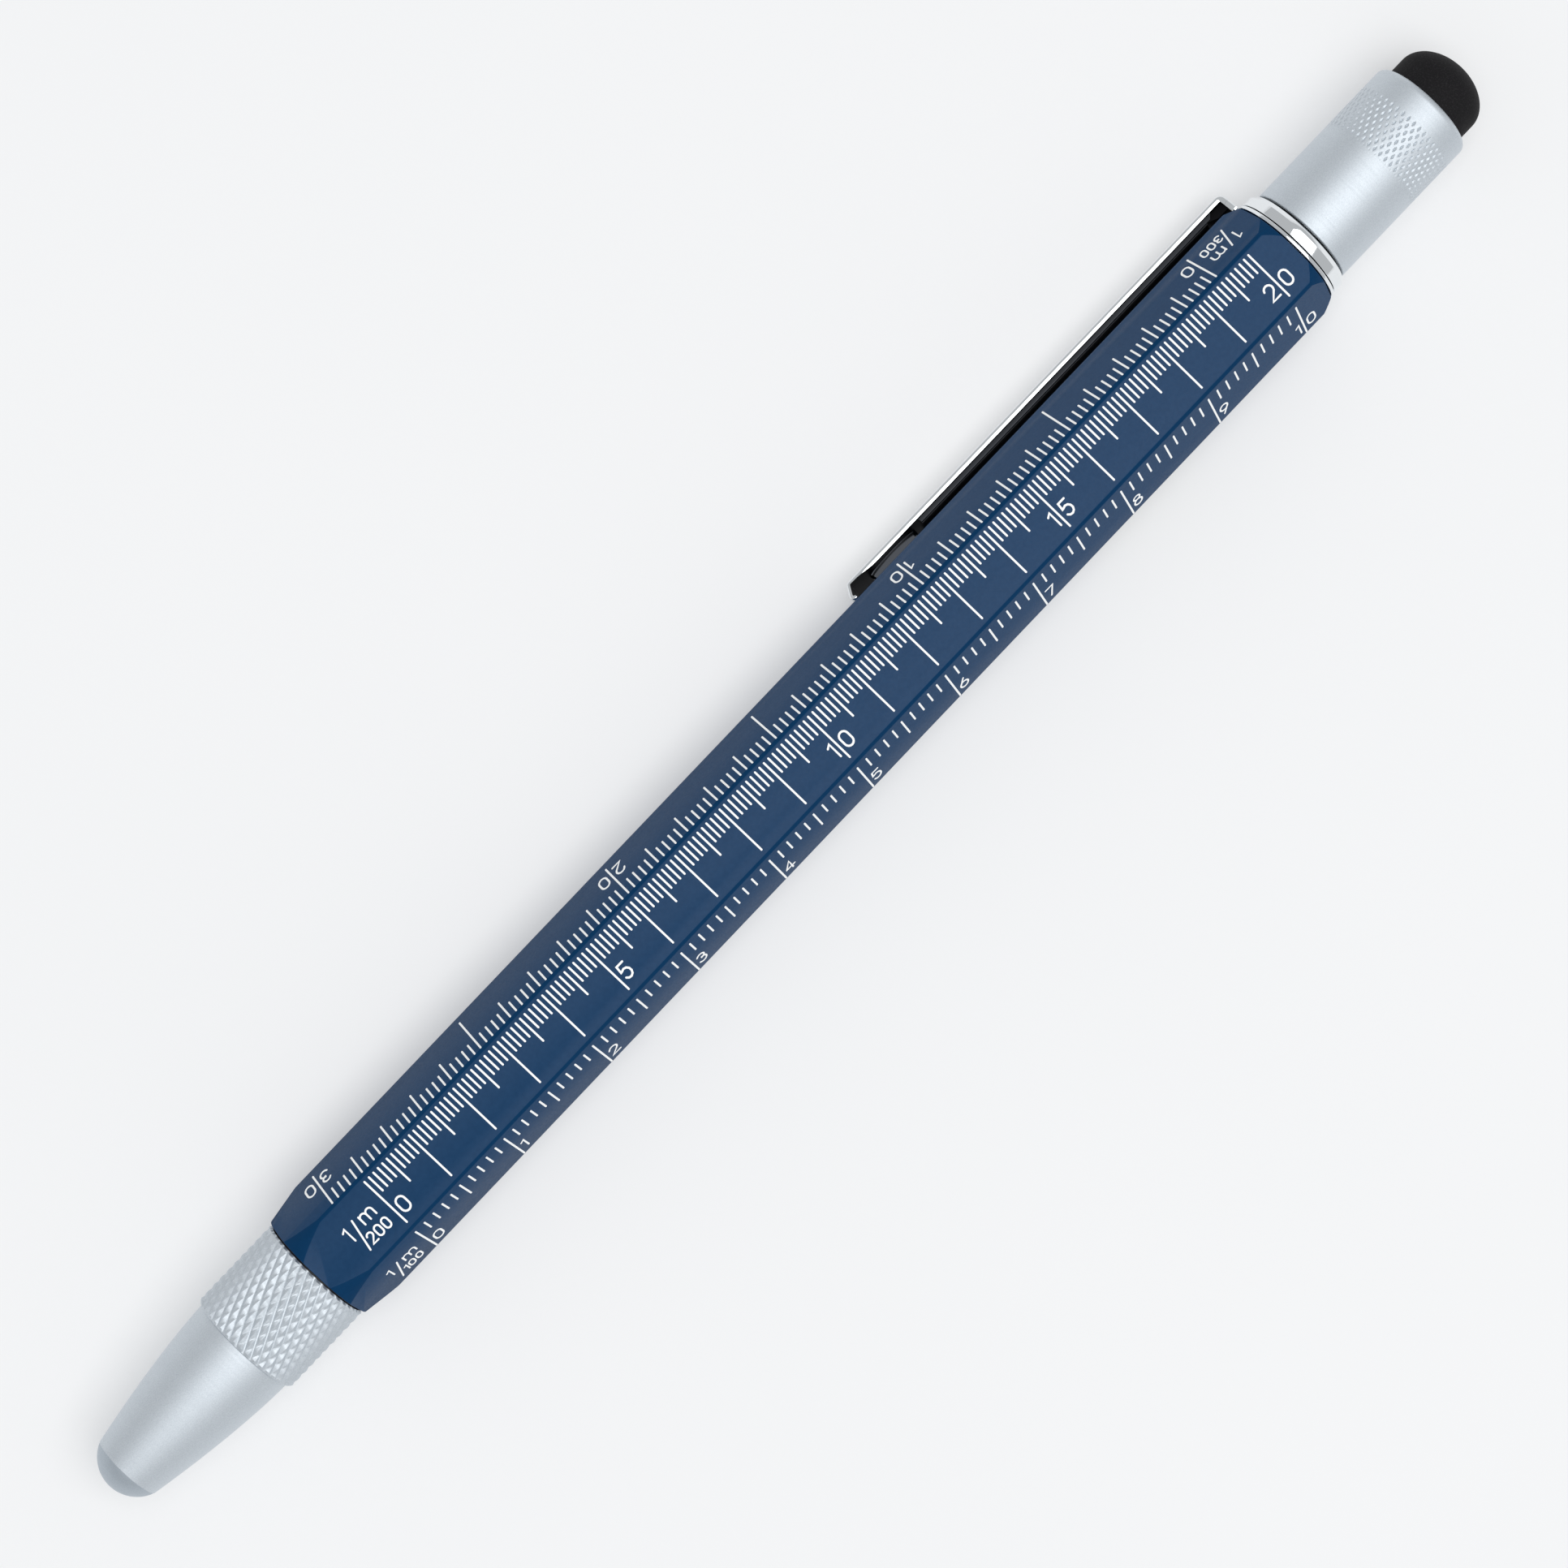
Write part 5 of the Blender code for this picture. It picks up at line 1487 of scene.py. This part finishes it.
@dataclass
class Clip:
    """The pocket clip: a bright strip that curls over at its tip, walls under it and a bump, with painted
    shade on the walls, the bend's corner and under the strip, and a painted dark reflection on the bump.

    Attributes:
        tip: station where its free end's face meets the strip.
        rear: station of the bend's outer face.
        top: offset of its outer face from the pen's axis.
        under: offset of its side walls' lower edge.
        foot: offset where it ends on the washer's tab.
        width: its width.
        plate: thickness of the bright strip.
        rim: thickness that the strip thins to at the free end, where its sides are upright.
        bend: outer radius of the bend.
        lip: outer radius of the free end's lower curl, and brow: of its upper one.
        ramp: length over which the strip gets its full section.
        wall: thickness of a side wall.
        inset: how far the walls stand in from the strip's sides.
        crown: radius along the strip's outer edges.
        lean_deg: how far the strip's sides lean in below the crown.
        sink: how far the pieces under the strip reach into it.
    """

    tip: float = 12.15
    rear: float = 55.8
    top: float = 7.2
    under: float = 6.26
    foot: float = 6.2
    width: float = 3.0
    plate: float = 0.5
    rim: float = 0.31
    bend: float = 0.62
    lip: float = 0.45
    brow: float = 0.42
    ramp: float = 2.3
    wall: float = 0.34
    wall_front: float = 20.15
    wall_rear: float = 54.2
    inset: float = 0.27
    crown: float = 0.2
    lean_deg: float = 30.0
    sink: float = 0.05
    corner_half: float = 1.2
    corner_under: float = 5.8
    bump_front: float = 14.3
    bump_rear: float = 19.5
    bump_half: float = 0.68
    bump_bottom: float = 5.05
    face_deg: float = 120.0

    def path(self, inset: float) -> list[Corner]:
        """The strip's outer line moved inwards, from the free end's lower edge to the foot.

        Args:
            inset: how far inwards.

        Returns:
            Points of station, offset and how far the strip has its full section there.
        """
        slim = min(inset, self.rim)
        lip, brow, bend = self.lip - slim, self.brow - slim, max(0.05, self.bend - inset)
        nose = arc((self.tip + 0.16, 6.02), (lip, lip), 272, 148, 10)
        nose += arc((self.tip + 0.57, self.top - self.brow), (brow, brow), 148, 90, 6)
        points = [(station, offset, 0.0) for station, offset in nose]
        for step in range(1, 7):
            share = step / 6
            full = share * share * (3 - 2 * share)
            offset = self.top - slim - (inset - slim) * full
            points.append((self.tip + 0.95 + self.ramp * share, offset, full))
        rear = arc((self.rear - self.bend, self.top - self.bend), (bend, bend), 90, 0, 8)
        rear.append((self.rear - inset, self.foot))
        return points + [(station, offset, 1.0) for station, offset in rear]

    def slab(self, name: str, outline: Sequence[Point], width: float, middle: float, finish: Finish) -> None:
        """A flat piece under the strip, cut to a side outline.

        Args:
            name: its name.
            outline: station and offset of its corners.
            width: its thickness across the clip.
            middle: where its middle is across the clip.
            finish: its material.
        """
        shape = bmesh.new()
        near, far = [
            [shape.verts.new((station, across, offset)) for station, offset in outline]
            for across in (middle - width / 2, middle + width / 2)]
        shape.faces.new(near)
        shape.faces.new(list(reversed(far)))
        for index in range(len(outline)):
            after = (index + 1) % len(outline)
            shape.faces.new((near[after], near[index], far[index], far[after]))
        piece = settle(name, shape, face_frame(self.face_deg))
        change(piece, "BEVEL", 35.0, width=0.05 * MM, segments=2, limit_method="ANGLE",
               angle_limit=math.radians(50))
        dress(piece, "clip_arm", finish)

    def swept(self, name: str, path: Callable[[float], list[Corner]]) -> Piece:
        """A run of the bright strip: round outside, with sides that lean in to its lower face.

        Args:
            name: the piece's name.
            path: stations, offsets and share of the full section along the run, at a depth in the strip.

        Returns:
            The piece. Its lower face has the second material slot, which is given painted shade.
        """
        half = self.width / 2
        lean = (self.plate - self.crown) * math.tan(math.radians(self.lean_deg))
        side = []
        for turn_deg in range(0, 91, 15):
            turn = math.radians(turn_deg)
            side.append((self.crown * (1 - math.cos(turn)), half - self.crown + self.crown * math.sin(turn)))
        side.append((self.plate, half - lean))
        shape = bmesh.new()
        lines = []
        for inset, across in [(inset, -across) for inset, across in reversed(side)] + side:
            slack = math.copysign(max(0.0, inset - self.crown) / (self.plate - self.crown) * lean, across)
            lines.append([shape.verts.new((station, across + slack * (1 - full), offset))
                          for station, offset, full in path(inset)])
        faces = skin(shape, lines, around=True)
        for face in faces[len(faces) - len(faces) // len(lines):]:
            face.material_index = 1
        shape.faces.new([line[0] for line in lines])
        shape.faces.new([line[-1] for line in reversed(lines)])
        return settle(name, shape, face_frame(self.face_deg), 40.0)

    def leg(self) -> Piece:
        """The run below the bend that the washer is joined to."""
        return self.swept("washer_leg", lambda inset: [
            (self.rear - inset, self.foot - 0.01, 1.0), (self.rear - inset, 5.25, 1.0)])

    def build(self) -> None:
        """Builds the strip, its walls, the corner of the bend and the bump; the walls, the corner and the
        strip's lower face carry painted shade, and the bump a painted dark reflection.
        """
        # The strip's lower face takes the near-black painted shade
        dress(self.swept("clip_strip", self.path), "clip_arm", CHROME, CLIP_PAINTED_SHADE, instead_of="clip_arm")
        ceiling = self.top - self.plate + self.sink
        wall = [(self.wall_front, ceiling), (self.wall_rear, ceiling),
                (self.wall_rear - 0.5, self.under), (self.wall_front + 0.1, self.under)]
        # The side walls' dark grey is painted shade
        for side, place in ((-1, "upper"), (1, "lower")):
            middle = side * (self.width / 2 - self.inset - self.wall / 2)
            self.slab(f"clip_wall_{place}", wall, self.wall, middle, CHROME_PAINTED_SHADE)
        # The corner under the bend is near-black painted shade
        front, inner = self.wall_rear - 0.9, self.rear - self.plate + 0.04
        corner = [(front, ceiling), (inner, ceiling), (inner, self.corner_under),
                  (self.wall_rear, self.corner_under), (front, self.under)]
        self.slab("clip_corner", corner, 2 * self.corner_half, 0.0, CLIP_PAINTED_SHADE)
        self.bump()

    def bump(self) -> None:
        """The pressed bump that bears on the barrel."""
        top = self.top - self.plate + 0.03
        halves = ((self.bump_rear - self.bump_front) / 2, self.bump_half, top - self.bump_bottom)
        middle = Vector(((self.bump_front + self.bump_rear) / 2, 0, top))
        shape = ellipsoid(halves, middle, 48, 32)
        cut = bmesh.ops.bisect_plane(
            shape, geom=shape.verts[:] + shape.edges[:] + shape.faces[:], plane_co=middle, plane_no=(0, 0, 1),
            clear_outer=True)
        rim = [item for item in cut["geom_cut"] if isinstance(item, bmesh.types.BMEdge)]
        bmesh.ops.edgeloop_fill(shape, edges=rim)
        # The bump's dark grey is a painted reflection of the barrel
        dress(settle("clip_bump", shape, face_frame(self.face_deg), 40.0), "clip_arm", CLIP_BUMP_PAINTED_REFLECTION)


@dataclass
class Bit:
    """The reversible bit, cross at one end and slotted at the other: the CAD piece, dressed."""

    def build(self) -> None:
        """Gives the bit its ground steel."""
        refinish(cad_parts["driver_bit"], TOOL_STEEL)


@dataclass
class TouchCap:
    """The screw-off cap with the rubber touch tip: a satin sleeve with a band of dents."""

    radius: float = 4.57
    bore: float = 4.1
    opening: float = 3.94
    shoulder_depth: float = 2.25
    round_edge: float = 0.6
    mouth_edge: float = 0.06
    band_start: float = 6.6
    band_depth: float = 2.2
    band_step: float = 0.1
    ring_radius: float = 3.95
    lip_length: float = 1.1
    straight: float = 1.62
    dome_height: float = 2.66
    dome_radius: float = 3.84
    dome_wall: float = 0.8
    core_radius: float = 2.89

    def build(self) -> None:
        """Builds the sleeve, the dome and what holds it."""
        mouth, end = span("stylus_cap")
        dents = Dents(48, 1.02, 0.10, 0.26, 0.14, radius=self.radius, first=end - self.band_start,
                      last=end - self.band_depth)
        edge = (end - self.round_edge, self.radius - self.round_edge)
        shoulder = end - self.shoulder_depth
        outline = [(mouth, self.bore), (mouth, self.radius - self.mouth_edge),
                   (mouth + self.mouth_edge, self.radius)]
        first = len(outline)
        outline += stepped(dents.first, dents.last, self.radius, self.band_step)
        rough = slice(first, len(outline))
        outline += arc(edge, (self.round_edge, self.round_edge), 90, 10, 10)
        outline += [(end, self.opening + 0.05), (end - 0.05, self.opening), (shoulder, self.opening),
                    (shoulder, self.bore)]
        sleeve = turned(
            "touch_cap_sleeve", outline, dents.around * 10, dents.height, rough, crease_deg=24.0)
        dress(sleeve, "stylus_cap", ALUMINIUM, instead_of="stylus_cap")
        self.dome(end)
        for name, node, inner in (
                ("thread_insert", "stylus_insert", 3.67), ("dome_retainer", "stylus_retainer", 3.05)):
            ring = turned(name, band(*span(node), inner, self.ring_radius, 0.08), 96)
            dress(ring, "stylus_cap_slide", BRASS, instead_of=node)
        front, rear = span("stylus_core")
        bend = end + self.straight
        nose = arc((bend, 0), (rear - bend, self.core_radius), 90, 0, 10)[:-1]
        core = turned("dome_core", [(front, 0.0), (front, self.core_radius), *nose, (rear, 0.0)])
        dress(core, "stylus_cap_slide", ABS, instead_of="stylus_core")

    def dome(self, end: float) -> None:
        """The rubber dome, with the lip that keeps it in.

        Args:
            end: the sleeve's last station.
        """
        start = end + self.straight
        inner = self.dome_radius - self.dome_wall
        depth = self.dome_height - self.dome_wall
        lip_front, _ = span("stylus_tip")
        lip_rear = lip_front + self.lip_length
        outline = [(start + depth, 0.0), *arc((start, 0), (depth, inner), 0, 90, 10)[1:]]
        outline += [(lip_front, inner), (lip_front, self.ring_radius), (lip_rear, self.ring_radius),
                    (lip_rear, self.dome_radius)]
        outline += arc((start, 0), (self.dome_height, self.dome_radius), 90, 0, 24)[:-1]
        outline.append((start + self.dome_height, 0.0))
        dress(turned("rubber_dome", outline, 128), "stylus_cap_slide", RUBBER, instead_of="stylus_tip")


@dataclass
class Level:
    """The small spirit level behind its window in the flat beside the lower one."""

    face_deg: float = -120.0
    middle: float = 34.1
    offset: float = 1.9
    radius: float = 1.8
    wall: float = 0.35
    length: float = 15.0
    plug: float = 1.2
    fit: float = 0.1
    mark_gap: float = 4.4
    mark_half: float = 0.09
    bubble: tuple[float, float, float] = (1.7, 1.0, 0.8)
    window: tuple[float, float, float] = (10.7, 2.7, 0.8)
    window_offset: float = 4.5

    def lined(self, name: str, outline: Sequence[Point], sides: int = 64) -> Piece:
        """Turns an outline around the vial's own axis.

        Args:
            name: the piece's name.
            outline: station and radius of its points.
            sides: facets around it.

        Returns:
            The piece.
        """
        piece = turned(name, outline, sides)
        shift = face_frame(self.face_deg) @ Matrix.Translation((0, 0, self.offset)) @ face_frame(0).inverted()
        piece.data.transform(shift)
        return piece

    def build(self) -> None:
        """Builds the vial, the fluid with its bubble, the plugs, the lines and the window."""
        front = self.middle - self.length / 2
        rear = self.middle + self.length / 2
        bore = self.radius - self.wall
        vial = self.lined("vial_glass", band(front, rear, bore, self.radius, 0.1))
        dress(vial, "barrel", THIN_ACRYLIC, instead_of="level_vial")
        for end, start in (("front", front), ("rear", rear - self.plug)):
            plug = band(start, start + self.plug, 0, bore - self.fit, 0.1)
            dress(self.lined(f"vial_plug_{end}", plug, 48), "barrel", RUBBER, instead_of=f"level_plug_{end}")
        self.fluid(front + self.plug + self.fit, rear - self.plug - self.fit, bore - self.fit)
        for end, side in (("front", -1), ("rear", 1)):
            station = self.middle + side * self.mark_gap / 2
            line = band(station - self.mark_half, station + self.mark_half, self.radius + 0.005,
                        self.radius + 0.02, 0)
            dress(self.lined(f"vial_line_{end}", line), "barrel", RUBBER)
        refinish(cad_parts["level_cradle"], ABS)
        cover = block("window_cover", self.window, (self.middle, 0, self.window_offset), self.face_deg)
        change(cover, "BEVEL", width=0.12 * MM, segments=3)
        dress(cover, "barrel", ACRYLIC, instead_of="level_window")

    def fluid(self, front: float, rear: float, radius: float) -> None:
        """The fluid, with the bubble at the top of its window and a painted highlight round it.

        Args:
            front: its first station.
            rear: its last station.
            radius: its radius.
        """
        fluid = self.lined("vial_fluid", band(front, rear, 0, radius, 0.15))
        middle = Vector((self.middle, 0, self.offset + radius))
        place = face_frame(self.face_deg)
        carve(fluid, settle("bubble", ellipsoid(self.bubble, middle, 40, 24), place, 40.0))
        flat = place.inverted()
        # Faces on a thin shell round the bubble take the paler green of the painted highlight
        for polygon in fluid.data.polygons:
            away = flat @ polygon.center - middle
            share = Vector([part / half for part, half in zip(away, self.bubble)]).length
            polygon.material_index = int(0.9 < share < 1.02)
        dress(fluid, "barrel", SPIRIT, SPIRIT_PAINTED_HIGHLIGHT, instead_of="level_fluid")


@dataclass
class Studio:
    """The pale sheet, the soft light over it and the camera straight above.

    Attributes:
        focal_mm: the lens, on a sensor 36 mm wide.
        camera_mm: where the camera is.
        camera_deg: how it is turned about X, Y and Z.
        sheet_side: facets along the sheet, and sheet_reach: half of its side.
        sheet_flat: radius beyond which it curves up, and sheet_curve: how gently it does.
    """

    focal_mm: float = 100.13
    camera_mm: tuple[float, float, float] = (-11.62, 26.14, 349.11)
    camera_deg: tuple[float, float, float] = (-1.9439, -4.2228, -46.2424)
    tent_colour: str = "F6F8FA"
    tent_strength: float = 0.56
    key_watts: float = 6.6
    key_place: tuple[float, float, float] = (50.0, -140.0, 1000.0)
    key_size: Point = (820.0, 960.0)
    sheet_side: int = 24
    sheet_reach: float = 900.0
    sheet_flat: float = 700.0
    sheet_curve: float = 900.0

    def camera(self) -> None:
        """The camera, as fitted to the printed scales in the photograph."""
        data = bpy.data.cameras.new("camera")
        data.lens = self.focal_mm
        data.sensor_width = 36
        data.clip_start = 0.01
        camera = bpy.data.objects.new("camera", data)
        camera.location = Vector(self.camera_mm) * MM
        camera.rotation_euler = [math.radians(angle) for angle in self.camera_deg]
        bpy.context.scene.collection.objects.link(camera)
        bpy.context.scene.camera = camera

    def rise(self, x: float, y: float) -> float:
        """How far the sheet has curved up at a place."""
        return max(0.0, math.hypot(x, y) - self.sheet_flat) ** 2 / self.sheet_curve

    def sheet(self) -> None:
        """The sheet that the pen lies on, which curves up at its edges far outside the view."""
        shape = bmesh.new()
        steps = [self.sheet_reach * (2 * step / self.sheet_side - 1) for step in range(self.sheet_side + 1)]
        skin(shape, [[shape.verts.new((x, y, self.rise(x, y))) for x in steps] for y in steps])
        place = Matrix.Translation((0, 0, CAD_BOX[0][2])) @ Matrix.Scale(MM, 4)
        sheet = settle("acrylic_sheet", shape, place, 60.0)
        refinish(sheet, SHEET)

    def lights(self) -> None:
        """A soft box overhead, a little to the side away from the clip, inside a white tent."""
        world = bpy.data.worlds.new("tent")
        bpy.context.scene.world = world
        world.use_nodes = True
        wire(world.node_tree.nodes["Background"], {
            "Color": srgb(self.tent_colour), "Strength": self.tent_strength})
        data = bpy.data.lights.new("key_box", "AREA")
        data.shape = "RECTANGLE"
        data.size, data.size_y = (side * MM for side in self.key_size)
        data.energy = self.key_watts
        lamp = bpy.data.objects.new("key_box", data)
        lamp.location = Vector(self.key_place) * MM
        lamp.rotation_euler = (-lamp.location).to_track_quat("-Z", "Y").to_euler()
        bpy.context.scene.collection.objects.link(lamp)

    def build(self) -> None:
        """Sets up the camera, the sheet, the light and plain display colours."""
        bpy.context.scene.view_settings.view_transform = "Standard"
        self.camera()
        self.sheet()
        self.lights()


def main() -> None:
    """Builds the sub-assemblies in order, from the writing end to the touch tip."""
    logging.basicConfig(level=logging.INFO)
    Studio().build()
    for part in (FrontCap(), WritingUnit(), InkSupply(), Barrel(), Level(), Clip(), RearCollar(), Bit(),
                 TouchCap()):
        part.build()
        log.info("%s is built", type(part).__name__)


if __name__ == "__main__":
    main()
